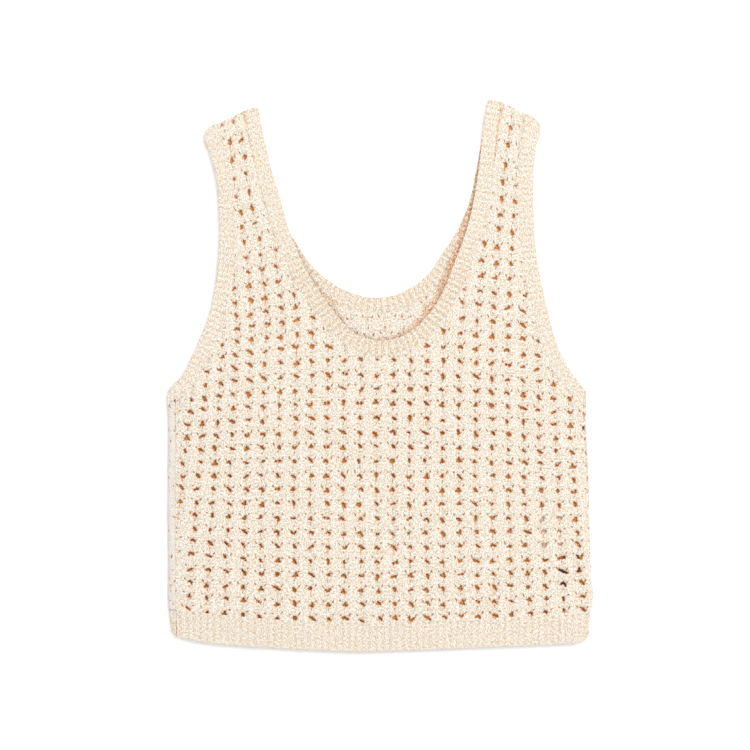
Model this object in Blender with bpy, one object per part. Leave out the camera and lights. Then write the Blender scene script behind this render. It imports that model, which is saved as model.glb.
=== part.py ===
"""A sleeveless openwork knit top, laid flat with its front up.

Metres, +Z up. X runs across the garment, to the right of someone who looks down on it, Y runs from
the hem to the shoulders, and the underside rests at Z = 0 with the origin in the middle of it.

The garment is a flattened tube. The back lies below and the front on it. At the left edge the back
turns up and over to a side seam that shows on the front, and at the right edge the front turns
under to a side seam on the underside. Each piece is a closed wall of cloth.
"""
from collections import namedtuple
from math import cos, pi, sin

import bmesh
import bpy
from mathutils import Vector

MM = 0.001

# Cloth
WALL = 2.6 * MM
SEAM_GAP = 0.3 * MM
RIB_RELIEF = 0.8 * MM
WALE_RELIEF = 0.6 * MM

# Bands
NECK_WIDTH = 15.3 * MM
ARMHOLE_WIDTH = 14.8 * MM
BAND_RIB_PITCH = 5.4 * MM
HEM_RIB_PITCH = 6.5 * MM
HEM_MIDDLE = -240.0 * MM
END_BLEND = 26.0 * MM
PLAIN_PITCH = 11.0 * MM

# Side folds
FOLD_RADIUS = 3.05 * MM
FOLD_STEPS = 6
SEAM_ROLL = 7.7 * MM

# Openwork panels
GAP_PITCH = 16.28 * MM
GAP_COLUMNS = 24
FIRST_GAP_COLUMN = -182.5 * MM
PANEL_LOW = -244.0 * MM
PANEL_HIGH = 268.0 * MM
PANEL_ROWS = 15
BACK_COLUMNS = 8

# How high the front layer stands off the back layer: least at the side folds and on the straps,
# nothing at the shoulders, with long shallow ripples over the body
SIDE_LOFT = 0.6 * MM
BODY_LOFT = 1.2 * MM
LOFT_REACH = 20.0 * MM
STRAP_SHARE = 0.3
STRAP_START = -60.0 * MM
STRAP_REACH = 150.0 * MM
SHOULDER = 262.0 * MM
SHOULDER_REACH = 40.0 * MM
RIPPLE = 0.55 * MM

Ripple = namedtuple("Ripple", "share across along shift")

# A ripple is one wave times another: their lengths in mm for one radian, and where they start
RIPPLES = (Ripple(1.0, 52.0, 66.0, 0.6), Ripple(0.6, 31.0, -94.0, 0.2))

# The block that trims a panel reaches past everything it must not touch
TRIM_HALF_WIDTH = 215.0 * MM
TRIM_HALF_DEPTH = 20.0 * MM
TRIM_HEM_STEPS = 26

Spot = namedtuple("Spot", "x y")
Edge = namedtuple("Edge", "y x")
Label = namedtuple("Label", "name x y width height turn colour")

# Free edge of the front neck band in mm, from the left shoulder down and round to the right one
NECK_FRONT = (
    Spot(-116.0, 257.0), Spot(-112.0, 235.5), Spot(-105.5, 205.0), Spot(-96.5, 175.0),
    Spot(-87.0, 141.5), Spot(-75.5, 112.0), Spot(-60.5, 85.0), Spot(-43.0, 61.0),
    Spot(-25.0, 42.0), Spot(0.0, 34.0), Spot(24.0, 40.0), Spot(42.0, 54.5),
    Spot(58.5, 78.5), Spot(71.0, 109.0), Spot(82.5, 140.5), Spot(90.0, 173.0),
    Spot(95.5, 211.5), Spot(98.5, 240.0), Spot(102.5, 264.0),
)

# Free edge of the back neck band, which sits higher and so shows above the front one
NECK_BACK = (
    Spot(-117.0, 256.5), Spot(-109.0, 221.0), Spot(-99.5, 178.0), Spot(-89.0, 143.5),
    Spot(-78.5, 125.5), Spot(-65.0, 106.0), Spot(-48.0, 91.0), Spot(-28.5, 80.5),
    Spot(-6.5, 75.5), Spot(14.5, 78.0), Spot(33.5, 87.5), Spot(48.0, 100.5),
    Spot(58.5, 116.0), Spot(71.0, 135.0), Spot(80.5, 154.0), Spot(87.0, 173.0),
    Spot(94.5, 211.5), Spot(99.5, 240.0), Spot(103.5, 263.0),
)

# Free edges of the armhole bands, from the shoulder down to the side fold
ARMHOLE_LEFT = (
    Spot(-168.5, 230.5), Spot(-160.0, 202.0), Spot(-156.0, 183.0), Spot(-154.0, 154.0),
    Spot(-154.0, 125.5), Spot(-157.0, 92.0), Spot(-163.5, 58.5), Spot(-173.0, 34.5),
    Spot(-182.0, 14.5), Spot(-190.0, -1.0), Spot(-199.0, -8.5), Spot(-203.0, -14.5),
)
ARMHOLE_RIGHT = (
    Spot(154.0, 239.0), Spot(150.0, 220.0), Spot(147.5, 202.0), Spot(147.0, 178.0),
    Spot(147.5, 144.5), Spot(150.0, 116.0), Spot(155.0, 87.0), Spot(160.0, 65.0),
    Spot(166.5, 39.0), Spot(174.0, 20.0), Spot(184.5, 2.0), Spot(197.0, -14.5),
)

# Where the bands' shoulder ends meet the panel
NECK_LEFT_END = Spot(-130.5, 253.0)
NECK_RIGHT_END = Spot(117.0, 261.5)
ARMHOLE_LEFT_END = Spot(-154.0, 241.5)
ARMHOLE_RIGHT_END = Spot(139.5, 251.0)

# Side edges, the outermost line of each side fold
SIDE_LEFT = (Edge(-14.5, -203.0), Edge(-214.5, -203.0), Edge(-228.5, -201.5), Edge(-240.0, -200.0))
SIDE_RIGHT = (
    Edge(-14.5, 197.0), Edge(-56.5, 198.0), Edge(-94.5, 200.0), Edge(-114.0, 201.0),
    Edge(-181.0, 202.0), Edge(-209.5, 203.0), Edge(-228.5, 202.0), Edge(-243.0, 201.0),
)

# Free edge of the hem, which sags a little in the middle and has rounded corners
HEM_EDGE = (
    Spot(-203.0, -236.0), Spot(-199.5, -244.5), Spot(-194.0, -249.5), Spot(-182.0, -252.5),
    Spot(-158.0, -256.5), Spot(-115.0, -259.5), Spot(-72.0, -262.0), Spot(-26.0, -264.0),
    Spot(0.0, -263.5), Spot(48.0, -262.0), Spot(95.5, -260.0), Spot(143.5, -258.0),
    Spot(186.5, -256.0), Spot(196.0, -253.0), Spot(200.5, -247.5), Spot(203.0, -239.0),
)
HEM_JOIN = (
    Spot(-203.0, -223.5), Spot(-103.0, -232.5), Spot(-3.0, -236.5), Spot(103.0, -233.0),
    Spot(203.0, -226.5),
)

# Blank sewn-in labels between the layers: middle, size in mm and turn in degrees
LABELS = (
    Label("care_label_white", 166.0, -147.0, 36.0, 43.0, -2.0, (0.78, 0.74, 0.71)),
    Label("care_label_black", 177.0, -188.5, 25.0, 34.0, 3.0, (0.02, 0.02, 0.022)),
)
LABEL_WALL = 0.5 * MM
LABEL_STEPS = 3

CREAM = (0.85, 0.72, 0.58)
RIB_CREAM = (0.89, 0.78, 0.64)


def smooth_step(t):
    """0 below 0, 1 above 1, and an S-shaped rise between them."""
    t = min(1.0, max(0.0, t))
    return t * t * (3.0 - 2.0 * t)


def mix(low, high, t):
    return low + (high - low) * t


def catmull_rom(before, start, end, after, t):
    """A point of the curve that passes through start and end, at t from 0 to 1 between them."""
    return 0.5 * (
        2.0 * start
        + (end - before) * t
        + (2.0 * before - 5.0 * start + 4.0 * end - after) * t * t
        + (3.0 * start - before - 3.0 * end + after) * t * t * t
    )


def read_table(table, key):
    """The second column of a table in mm, read at a value of its first column in metres."""
    rows = sorted(tuple(row) for row in table)
    keys = [row[0] * MM for row in rows]
    values = [row[1] * MM for row in rows]
    if key <= keys[0]:
        return values[0]
    if key >= keys[-1]:
        return values[-1]
    place = next(i for i in range(1, len(keys)) if key <= keys[i])
    t = (key - keys[place - 1]) / (keys[place] - keys[place - 1])
    return mix(values[place - 1], values[place], t)


class Route:
    """A smooth line through a table of spots, read by the distance along it."""

    feel = 2.0 * MM

    def __init__(self, spots, steps=12):
        corners = [Vector((spot.x, spot.y)) * MM for spot in spots]
        corners = [2 * corners[0] - corners[1]] + corners + [2 * corners[-1] - corners[-2]]
        self.points = []
        for i in range(1, len(corners) - 2):
            for step in range(steps):
                self.points.append(catmull_rom(*corners[i - 1:i + 3], step / steps))
        self.points.append(corners[-2])
        self.distances = [0.0]
        for a, b in zip(self.points, self.points[1:]):
            self.distances.append(self.distances[-1] + (b - a).length)
        self.length = self.distances[-1]

    def at(self, distance):
        distance = min(self.length, max(0.0, distance))
        i = next(k for k in range(1, len(self.distances)) if distance <= self.distances[k])
        span = self.distances[i] - self.distances[i - 1]
        return self.points[i - 1].lerp(self.points[i], (distance - self.distances[i - 1]) / span)

    def normal(self, distance, side):
        """The direction square to the line: to its left for side 1, to its right for side -1."""
        ahead, behind = self.at(distance + self.feel), self.at(distance - self.feel)
        along = (ahead - behind).normalized()
        return Vector((-along.y, along.x)) * side


class Band:
    """A rib band along a free edge: side is 1 where its panel lies to the left of the route."""

    def __init__(self, spots, side, width, first_inner, last_inner):
        self.route = Route(spots)
        self.side = side
        self.width = width
        self.first = self.end_direction(self.route.points[0], first_inner)
        self.last = self.end_direction(self.route.points[-1], last_inner)
        self.ribs = round(self.route.length / BAND_RIB_PITCH)

    def end_direction(self, edge, inner):
        """How an end is cut: from the free edge to the spot where it meets the panel."""
        if inner is None:
            return Vector((0.0, -1.0))
        return (Vector((inner.x, inner.y)) * MM - edge) / self.width

    def spot(self, distance, reach):
        """The place at a distance along the free edge and a reach from it into the garment."""
        direction = self.route.normal(distance, self.side)
        direction = self.first.lerp(direction, smooth_step(distance / END_BLEND))
        left = self.route.length - distance
        direction = self.last.lerp(direction, smooth_step(left / END_BLEND))
        return self.route.at(distance) + direction * reach

    def station(self, rib, reach):
        """The same, by the number of ribs from the start; between two ribs the line is straight."""
        pitch = self.route.length / self.ribs
        low = int(rib)
        here = self.spot(low * pitch, reach)
        return here.lerp(self.spot((low + 1) * pitch, reach), rib - low) if rib > low else here

    def join_line(self):
        """The panel's side of the seam."""
        return [self.station(rib, self.width + SEAM_GAP) for rib in range(self.ribs + 1)]


def left_edge(y):
    return read_table(SIDE_LEFT, y)


def right_edge(y):
    return read_table(SIDE_RIGHT, y)


def loft(x, y):
    """How far the front layer's inner side stands off the back layer, past the seam gap."""
    inside = min(x - left_edge(y) - FOLD_RADIUS, right_edge(y) - FOLD_RADIUS - x)
    rise = smooth_step(inside / LOFT_REACH)
    strap = mix(1.0, STRAP_SHARE, smooth_step((y - STRAP_START) / STRAP_REACH))
    shoulder = smooth_step((SHOULDER - y) / SHOULDER_REACH)
    ripple = 0.0
    for wave in RIPPLES:
        across = sin(x / (wave.across * MM) + wave.shift)
        ripple += wave.share * across * sin(y / (wave.along * MM) + 2.0 * wave.shift)
    return shoulder * (SIDE_LOFT + rise * strap * (BODY_LOFT + RIPPLE * ripple))


def front_rest(x, y):
    """Height of the front layer's inner side."""
    return WALL + SEAM_GAP + loft(x, y)


def turned(edge, side, angle, outer):
    """A point of a side fold: angle is 90 degrees on top and -90 underneath."""
    radius = FOLD_RADIUS if outer else FOLD_RADIUS - WALL
    middle = edge - side * FOLD_RADIUS
    return middle + side * radius * cos(angle), FOLD_RADIUS + radius * sin(angle)


def front_point(run, y, outer, relief):
    """The front layer: run 0 to 1 across the top, 1 to 2 round the right fold, 2 to 3 underneath."""
    seam = left_edge(y) + SEAM_ROLL
    turn = right_edge(y) - FOLD_RADIUS
    if run <= 1.0:
        x = mix(seam, turn, run)
        return Vector((x, y, front_rest(x, y) + (WALL - relief if outer else 0.0)))
    if run <= 2.0:
        x, z = turned(right_edge(y), 1.0, pi / 2 - pi * (run - 1.0), outer)
        return Vector((x, y, z))
    x = mix(turn, right_edge(y) - SEAM_ROLL, run - 2.0)
    return Vector((x, y, 0.0 if outer else WALL))


def back_point(run, y, outer, relief=0.0):
    """The back layer: run 0 to 1 on top at the left, 1 to 2 round the left fold, 2 to 3 below."""
    seam = left_edge(y) + SEAM_ROLL - SEAM_GAP
    turn = left_edge(y) + FOLD_RADIUS
    if run <= 1.0:
        x = mix(seam, turn, run)
        return Vector((x, y, 2.0 * FOLD_RADIUS - (0.0 if outer else WALL)))
    if run <= 2.0:
        x, z = turned(left_edge(y), -1.0, pi / 2 - pi * (run - 1.0), outer)
        return Vector((x, y, z))
    x = mix(turn, right_edge(y) - SEAM_ROLL - SEAM_GAP, run - 2.0)
    return Vector((x, y, 0.0 if outer else WALL - relief))


def fold_runs():
    return [1.0 + step / FOLD_STEPS for step in range(1, FOLD_STEPS + 1)]


def cloth_wall(name, columns, rows, place, material, collection):
    """A closed wall of cloth: a flat grid, extruded once, whose points are laid on the garment.

    place(column, row, outer) gives the point of one corner of the grid, on the wall's outer or
    inner side.
    """
    bm = bmesh.new()
    bmesh.ops.create_grid(bm, x_segments=columns, y_segments=rows, size=1.0)
    skin = bmesh.ops.extrude_face_region(bm, geom=bm.faces[:])["geom"]
    bmesh.ops.translate(bm, verts=[v for v in skin if isinstance(v, bmesh.types.BMVert)],
                        vec=(0.0, 0.0, 1.0))
    for vert in bm.verts:
        column = round((vert.co.x + 1.0) / 2.0 * columns)
        row = round((vert.co.y + 1.0) / 2.0 * rows)
        vert.co = place(column, row, vert.co.z > 0.5)
    bmesh.ops.recalc_face_normals(bm, faces=bm.faces[:])
    if bm.calc_volume(signed=True) < 0.0:
        bmesh.ops.reverse_faces(bm, faces=bm.faces[:])
    mesh = bpy.data.meshes.new(name)
    bm.to_mesh(mesh)
    bm.free()
    mesh.materials.append(material)
    piece = bpy.data.objects.new(name, mesh)
    collection.objects.link(piece)
    return piece


def cloth_material(name, colour, roughness):
    material = bpy.data.materials.new(name)
    material.use_nodes = True
    shader = material.node_tree.nodes["Principled BSDF"]
    shader.inputs["Base Color"].default_value = (*colour, 1.0)
    shader.inputs["Roughness"].default_value = roughness
    shader.inputs["Metallic"].default_value = 0.0
    return material


def trim_block(name, outline, collection):
    """A tall block with a flat outline, which keeps what is inside it."""
    curve = bpy.data.curves.new(name, "CURVE")
    curve.dimensions = "2D"
    curve.fill_mode = "BOTH"
    curve.extrude = TRIM_HALF_DEPTH
    spline = curve.splines.new("POLY")
    spline.points.add(len(outline) - 1)
    for point, spot in zip(spline.points, outline):
        point.co = (spot.x, spot.y, 0.0, 1.0)
    spline.use_cyclic_u = True
    drawn = bpy.data.objects.new(name + "_line", curve)
    collection.objects.link(drawn)
    evaluated = drawn.evaluated_get(bpy.context.evaluated_depsgraph_get())
    mesh = bpy.data.meshes.new_from_object(evaluated)
    bpy.data.objects.remove(drawn)
    bm = bmesh.new()
    bm.from_mesh(mesh)
    bmesh.ops.remove_doubles(bm, verts=bm.verts[:], dist=0.01 * MM)
    bmesh.ops.recalc_face_normals(bm, faces=bm.faces[:])
    bm.to_mesh(mesh)
    bm.free()
    block = bpy.data.objects.new(name, mesh)
    block.hide_render = True
    block.display_type = "WIRE"
    collection.objects.link(block)
    return block


def trim(piece, block):
    cut = piece.modifiers.new("outline", "BOOLEAN")
    cut.operation = "INTERSECT"
    cut.object = block


def panel_outline(neck, armhole_left, armhole_right):
    """A panel's cut: hem seam, right armhole, neck and left armhole, in turn."""
    hem = []
    for i in range(TRIM_HEM_STEPS + 1):
        x = mix(-TRIM_HALF_WIDTH, TRIM_HALF_WIDTH, i / TRIM_HEM_STEPS)
        hem.append(Vector((x, read_table(HEM_JOIN, x) + SEAM_GAP)))
    right = armhole_right.join_line()[::-1]
    left = armhole_left.join_line()
    right_corner = Vector((TRIM_HALF_WIDTH, right[0].y))
    left_corner = Vector((-TRIM_HALF_WIDTH, left[-1].y))
    return hem + [right_corner] + right + neck.join_line()[::-1] + left + [left_corner]


def panel_row(row):
    """Y of a row of a panel's grid, which starts below the hem seam and ends above the shoulders."""
    return mix(PANEL_LOW, PANEL_HIGH, row / PANEL_ROWS)


def make_front_panel(block, material, collection):
    """The openwork front: a soft ridge stands up between each two columns of gaps."""
    across = [FIRST_GAP_COLUMN + GAP_PITCH * half / 2 for half in range(2 * GAP_COLUMNS - 1)]
    runs = [0.0] + across + [1.0] + fold_runs() + [3.0]

    def place(column, row, outer):
        y = panel_row(row)
        run = runs[column]
        relief = 0.5 * WALE_RELIEF
        if 1 <= column <= len(across):
            seam = left_edge(y) + SEAM_ROLL
            run = (across[column - 1] - seam) / (right_edge(y) - FOLD_RADIUS - seam)
            relief = WALE_RELIEF if column % 2 else 0.0
        return front_point(run, y, outer, relief if run <= 1.0 else 0.0)

    piece = cloth_wall("front_panel", len(runs) - 1, PANEL_ROWS, place, material, collection)
    trim(piece, block)


def make_back_panel(block, material, collection):
    """The openwork back, which shows its inside through the neck and rests flat."""
    runs = [0.0, 1.0] + fold_runs() + [2.0 + (i + 1) / BACK_COLUMNS for i in range(BACK_COLUMNS)]

    def place(column, row, outer):
        return back_point(runs[column], panel_row(row), outer)

    piece = cloth_wall("back_panel", len(runs) - 1, PANEL_ROWS, place, material, collection)
    trim(piece, block)


def make_front_band(name, band, material, collection):
    """A rib band of the front layer, with its ribs raised on the outer side."""

    def place(column, row, outer):
        spot = band.station(column / 2, band.width * row)
        relief = 0.0 if column % 2 else RIB_RELIEF
        lift = WALL - relief if outer else 0.0
        return Vector((spot.x, spot.y, front_rest(spot.x, spot.y) + lift))

    cloth_wall(name, 2 * band.ribs, 1, place, material, collection)


def make_back_neck_band(band, material, collection):
    """The back neck band, with ribs on the side that shows through the neck."""

    def place(column, row, outer):
        spot = band.station(column / 2, band.width * row)
        relief = 0.0 if column % 2 else RIB_RELIEF
        return Vector((spot.x, spot.y, WALL - relief if outer else 0.0))

    cloth_wall("neck_band_back", 2 * band.ribs, 1, place, material, collection)


def make_back_armhole_band(name, band, material, collection):
    """A back armhole band, which is under the front one and rests flat, so it stays plain."""

    def place(column, row, outer):
        spot = band.station(column, band.width * row)
        return Vector((spot.x, spot.y, WALL if outer else 0.0))

    cloth_wall(name, band.ribs, 1, place, material, collection)


def hem_y(x, row):
    """Y on the hem band: row 0 is its free edge and row 1 its seam."""
    return mix(read_table(HEM_EDGE, x), read_table(HEM_JOIN, x), row)


def make_hem_band(name, runs, point, relief_at, material, collection):
    """A hem band that follows its layer round the side fold."""

    def place(column, row, outer):
        run = runs[column]
        x = point(run, HEM_MIDDLE, outer, 0.0).x
        return point(run, hem_y(x, row), outer, relief_at(column))

    cloth_wall(name, len(runs) - 1, 1, place, material, collection)


def make_hems(material, collection):
    width = right_edge(HEM_MIDDLE) - left_edge(HEM_MIDDLE)
    ribs = round(width / HEM_RIB_PITCH)
    front_runs = [i / (2 * ribs) for i in range(2 * ribs + 1)] + fold_runs() + [3.0]

    def front_relief(column):
        return RIB_RELIEF if column < 2 * ribs and column % 2 else 0.0

    make_hem_band("hem_band_front", front_runs, front_point, front_relief, material, collection)
    plain = round(width / PLAIN_PITCH)
    back_runs = [0.0, 1.0] + fold_runs() + [2.0 + (i + 1) / plain for i in range(plain)]
    make_hem_band("hem_band_back", back_runs, back_point, lambda column: 0.0, material, collection)


def make_label(label, collection):
    """A blank sewn-in label that lies on the back layer, under the front."""
    material = cloth_material(label.name, label.colour, 0.7)
    middle = Vector((label.x, label.y)) * MM
    turn = label.turn * pi / 180.0

    def place(column, row, outer):
        across = label.width * MM * (column / LABEL_STEPS - 0.5)
        along = label.height * MM * (row / LABEL_STEPS - 0.5)
        x = middle.x + across * cos(turn) - along * sin(turn)
        y = middle.y + across * sin(turn) + along * cos(turn)
        return Vector((x, y, WALL + SEAM_GAP + (LABEL_WALL if outer else 0.0)))

    cloth_wall(label.name, LABEL_STEPS, LABEL_STEPS, place, material, collection)


def main():
    for existing in list(bpy.data.objects):
        bpy.data.objects.remove(existing)
    garment = bpy.data.collections.new("openwork_tank_top")
    cutters = bpy.data.collections.new("panel_outlines")
    bpy.context.scene.collection.children.link(garment)
    bpy.context.scene.collection.children.link(cutters)

    openwork = cloth_material("openwork_knit", CREAM, 0.95)
    rib = cloth_material("rib_knit", RIB_CREAM, 0.92)

    neck_front = Band(NECK_FRONT, -1.0, NECK_WIDTH, NECK_LEFT_END, NECK_RIGHT_END)
    neck_back = Band(NECK_BACK, -1.0, NECK_WIDTH, NECK_LEFT_END, NECK_RIGHT_END)
    armhole_left = Band(ARMHOLE_LEFT, 1.0, ARMHOLE_WIDTH, ARMHOLE_LEFT_END, None)
    armhole_right = Band(ARMHOLE_RIGHT, -1.0, ARMHOLE_WIDTH, ARMHOLE_RIGHT_END, None)

    front_cut = trim_block(
        "front_outline", panel_outline(neck_front, armhole_left, armhole_right), cutters)
    back_cut = trim_block(
        "back_outline", panel_outline(neck_back, armhole_left, armhole_right), cutters)

    make_back_panel(back_cut, openwork, garment)
    make_front_panel(front_cut, openwork, garment)
    make_back_neck_band(neck_back, rib, garment)
    make_front_band("neck_band_front", neck_front, rib, garment)
    for side, band in (("left", armhole_left), ("right", armhole_right)):
        make_back_armhole_band("armhole_band_back_" + side, band, rib, garment)
        make_front_band("armhole_band_front_" + side, band, rib, garment)
    make_hems(rib, garment)
    for label in LABELS:
        make_label(label, garment)


main()
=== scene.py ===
"""The finished look of a sleeveless openwork knit top, laid flat with its front up.

Metres, +Z up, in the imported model's frame: X runs across the garment to the right of someone who
looks down on it, Y from the hem to the shoulders, and the underside rests at Z = 0.

The two openwork panels are knitted grids whose gaps are really open. The front one is a single
skin that is seen from outside, and the back one a closed wall that is seen from both sides. The
rib bands and hems are closed shells that follow the same edges, rib by rib.
"""

import logging
from dataclasses import dataclass, field
from enum import Enum
from math import cos, pi, radians, sin
from typing import Callable

import bmesh
import bpy
import numpy as np
from bmesh.types import BMesh, BMVert
from bpy.types import Material, Node, NodeSocket, NodeTree, Object
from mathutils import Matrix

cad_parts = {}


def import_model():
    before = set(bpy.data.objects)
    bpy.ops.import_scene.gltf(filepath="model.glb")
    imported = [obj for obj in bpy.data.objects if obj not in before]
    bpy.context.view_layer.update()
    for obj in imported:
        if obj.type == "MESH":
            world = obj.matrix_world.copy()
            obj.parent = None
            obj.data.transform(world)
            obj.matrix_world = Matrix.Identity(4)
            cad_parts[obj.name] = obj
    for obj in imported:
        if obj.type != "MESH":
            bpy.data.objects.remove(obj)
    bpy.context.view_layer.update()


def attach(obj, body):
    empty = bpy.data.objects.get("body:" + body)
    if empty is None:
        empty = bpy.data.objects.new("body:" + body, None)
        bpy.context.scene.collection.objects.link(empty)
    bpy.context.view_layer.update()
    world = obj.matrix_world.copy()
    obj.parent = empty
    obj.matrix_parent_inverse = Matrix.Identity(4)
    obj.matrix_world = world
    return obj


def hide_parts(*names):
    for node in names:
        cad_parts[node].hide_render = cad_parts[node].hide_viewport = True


log = logging.getLogger("openwork_top")

MM = 0.001
Array = np.ndarray
Colour = tuple[float, float, float]

# Cloth, as in the part's source
WALL = 2.6 * MM
SEAM_GAP = 0.3 * MM
SEAM_TUCK = 0.35 * MM
SEAM_SLIT = 0.06 * MM
RIB_RELIEF = 0.8 * MM
WALE_RELIEF = 0.6 * MM
NECK_WIDTH = 15.3 * MM
ARMHOLE_WIDTH = 14.8 * MM
BAND_RIB_PITCH = 5.4 * MM
HEM_RIB_PITCH = 6.5 * MM
END_BLEND = 26.0 * MM
FOLD_RADIUS = 3.05 * MM
HALF_ROUND = pi * FOLD_RADIUS
SEAM_ROLL = 7.7 * MM

# How high the front layer stands off the back layer, as in the part's source
SIDE_LOFT = 0.6 * MM
BODY_LOFT = 1.2 * MM
LOFT_REACH = 20.0 * MM
STRAP_SHARE = 0.3
STRAP_START = -60.0 * MM
STRAP_REACH = 150.0 * MM
SHOULDER = 262.0 * MM
SHOULDER_REACH = 40.0 * MM
RIPPLE = 0.55 * MM
RIPPLES = ((1.0, 52.0, 66.0, 0.6), (0.6, 31.0, -94.0, 0.2))

# Edges in mm, as in the part's source: (x, y) spots, and (y, x) for the two sides
NECK_FRONT = (
    (-116.0, 257.0), (-112.0, 235.5), (-105.5, 205.0), (-96.5, 175.0), (-87.0, 141.5),
    (-75.5, 112.0), (-60.5, 85.0), (-43.0, 61.0), (-25.0, 42.0), (0.0, 34.0), (24.0, 40.0),
    (42.0, 54.5), (58.5, 78.5), (71.0, 109.0), (82.5, 140.5), (90.0, 173.0), (95.5, 211.5),
    (98.5, 240.0), (102.5, 264.0),
)
NECK_BACK = (
    (-117.0, 256.5), (-109.0, 221.0), (-99.5, 178.0), (-89.0, 143.5), (-78.5, 125.5),
    (-65.0, 106.0), (-48.0, 91.0), (-28.5, 80.5), (-6.5, 75.5), (14.5, 78.0), (33.5, 87.5),
    (48.0, 100.5), (58.5, 116.0), (71.0, 135.0), (80.5, 154.0), (87.0, 173.0), (94.5, 211.5),
    (99.5, 240.0), (103.5, 263.0),
)
ARMHOLE_LEFT = (
    (-168.5, 230.5), (-160.0, 202.0), (-156.0, 183.0), (-154.0, 154.0), (-154.0, 125.5),
    (-157.0, 92.0), (-163.5, 58.5), (-173.0, 34.5), (-182.0, 14.5), (-190.0, -1.0),
    (-199.0, -8.5), (-203.0, -14.5),
)
ARMHOLE_RIGHT = (
    (154.0, 239.0), (150.0, 220.0), (147.5, 202.0), (147.0, 178.0), (147.5, 144.5),
    (150.0, 116.0), (155.0, 87.0), (160.0, 65.0), (166.5, 39.0), (174.0, 20.0), (184.5, 2.0),
    (197.0, -14.5),
)
NECK_LEFT_END = (-130.5, 253.0)
NECK_RIGHT_END = (117.0, 261.5)
ARMHOLE_LEFT_END = (-154.0, 241.5)
ARMHOLE_RIGHT_END = (139.5, 251.0)
SIDE_LEFT = ((-240.0, -200.0), (-228.5, -201.5), (-214.5, -203.0), (-14.5, -203.0))
SIDE_RIGHT = (
    (-243.0, 201.0), (-228.5, 202.0), (-209.5, 203.0), (-181.0, 202.0), (-114.0, 201.0),
    (-94.5, 200.0), (-56.5, 198.0), (-14.5, 197.0),
)
HEM_EDGE = (
    (-203.0, -236.0), (-199.5, -244.5), (-194.0, -249.5), (-182.0, -252.5), (-158.0, -256.5),
    (-115.0, -259.5), (-72.0, -262.0), (-26.0, -264.0), (0.0, -263.5), (48.0, -262.0),
    (95.5, -260.0), (143.5, -258.0), (186.5, -256.0), (196.0, -253.0), (200.5, -247.5),
    (203.0, -239.0),
)
HEM_JOIN = (
    (-203.0, -223.5), (-103.0, -232.5), (-3.0, -236.5), (103.0, -233.0), (203.0, -226.5),
)
HEM_MIDDLE = -240.0 * MM
HEM_SEAM = -194.6 * MM
HEM_SLIT = 0.12 * MM
HEM_WIDTH = 27.0 * MM

# The right edge bulges a little above the hem
BULGE = 1.3 * MM
BULGE_MIDDLE = -209.5 * MM
BULGE_REACH = 11.0 * MM

# How the knitting lies. A gap's place in mm over the body is a polynomial in its row i and its
# column J, counted from the middle; on a strap it follows the strap's own column.
BODY_X = (6.4003, -0.42284, 0.019226, 15.771, -0.0011435, 0.00012112, -0.013174, 0.0035015,
          -0.00011502, 0.0047031, -0.0006157)
BODY_Y = (-232.23, 13.647, 0.0067348, 0.22742, -0.035125, 0.0010445, 0.067255, -0.0068661,
          -0.00011779, -0.0019392, 0.00011657)
MIDDLE_COLUMN = 11.5
STRAP_ROWS = (19.0, 22.5)
LEFT_COLUMN = 4
RIGHT_COLUMN = 18

# Along each strap's own column: row, x, y, step to the next column in x and in y, all in mm
LEFT_STRAP = (
    (19.0, -109.3, 23.4, 14.6, 1.6), (21.0, -109.1, 49.2, 14.6, 2.4),
    (23.0, -110.1, 74.2, 14.0, 2.0), (25.0, -112.4, 101.7, 13.5, 2.5),
    (27.0, -115.5, 131.6, 14.0, 4.2), (28.0, -119.1, 146.2, 13.0, 5.0),
    (29.0, -122.2, 160.1, 11.8, 4.0), (30.0, -125.8, 176.3, 11.6, 4.0),
    (31.0, -128.2, 192.8, 11.4, 4.0), (32.0, -130.2, 209.6, 11.2, 4.0),
    (33.0, -133.0, 225.9, 11.0, 4.0), (34.0, -140.0, 244.0, 11.0, 4.0),
    (36.0, -146.0, 280.0, 11.0, 4.0),
)
RIGHT_STRAP = (
    (19.0, 105.5, 24.8, 14.6, -1.8), (21.0, 107.3, 52.3, 14.2, -2.0),
    (23.0, 109.2, 79.9, 14.1, -1.6), (25.0, 111.1, 108.4, 13.9, -2.0),
    (27.0, 113.3, 139.6, 13.0, -2.6), (28.0, 114.7, 154.5, 12.6, -3.2),
    (30.0, 118.0, 184.9, 11.8, -3.5), (31.0, 119.0, 202.7, 11.6, -3.5),
    (32.0, 121.4, 219.6, 11.4, -3.5), (33.0, 124.2, 237.3, 11.2, -3.5),
    (34.0, 126.5, 253.0, 11.2, -3.5), (36.0, 131.0, 286.0, 11.2, -3.5),
)

# The knitting between two columns or rows of gaps: how many wales and courses it has, how wide it
# is in mm, and how sharply the cloth turns in at a gap
WALES_PER_GAP = 3.0
COLUMN_PITCH = 16.0
RIM_ROUNDNESS = 1.6

# How a panel's outline is drawn: where its side seams start, how many spots its sides and its hem
# seam have, how many ribs of a band may meet a side seam, and how far corners are kept apart
SIDE_START = -223.0 * MM
SIDE_SPOTS = 24
HEM_SPOTS = 28
LAST_RIBS = 8
SIDE_CLEAR = 1.0 * MM
JOIN_CLEAR = 0.4 * MM


def metres(rows: tuple) -> Array:
    """A table in mm as an array in metres."""
    return np.array(rows, float) * MM


def read_table(table: tuple, place: Array) -> Array:
    """Reads a table of pairs in mm.

    Args:
        table: the pairs, in the order of their first values.
        place: where to read it, against the first values.

    Returns:
        The second values there, in metres.
    """
    rows = metres(table)
    return np.interp(place, rows[:, 0], rows[:, 1])


def smooth_step(t: Array) -> Array:
    """0 below 0, 1 above 1, and an S-shaped rise between them."""
    t = np.clip(t, 0.0, 1.0)
    return t * t * (3.0 - 2.0 * t)


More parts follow.
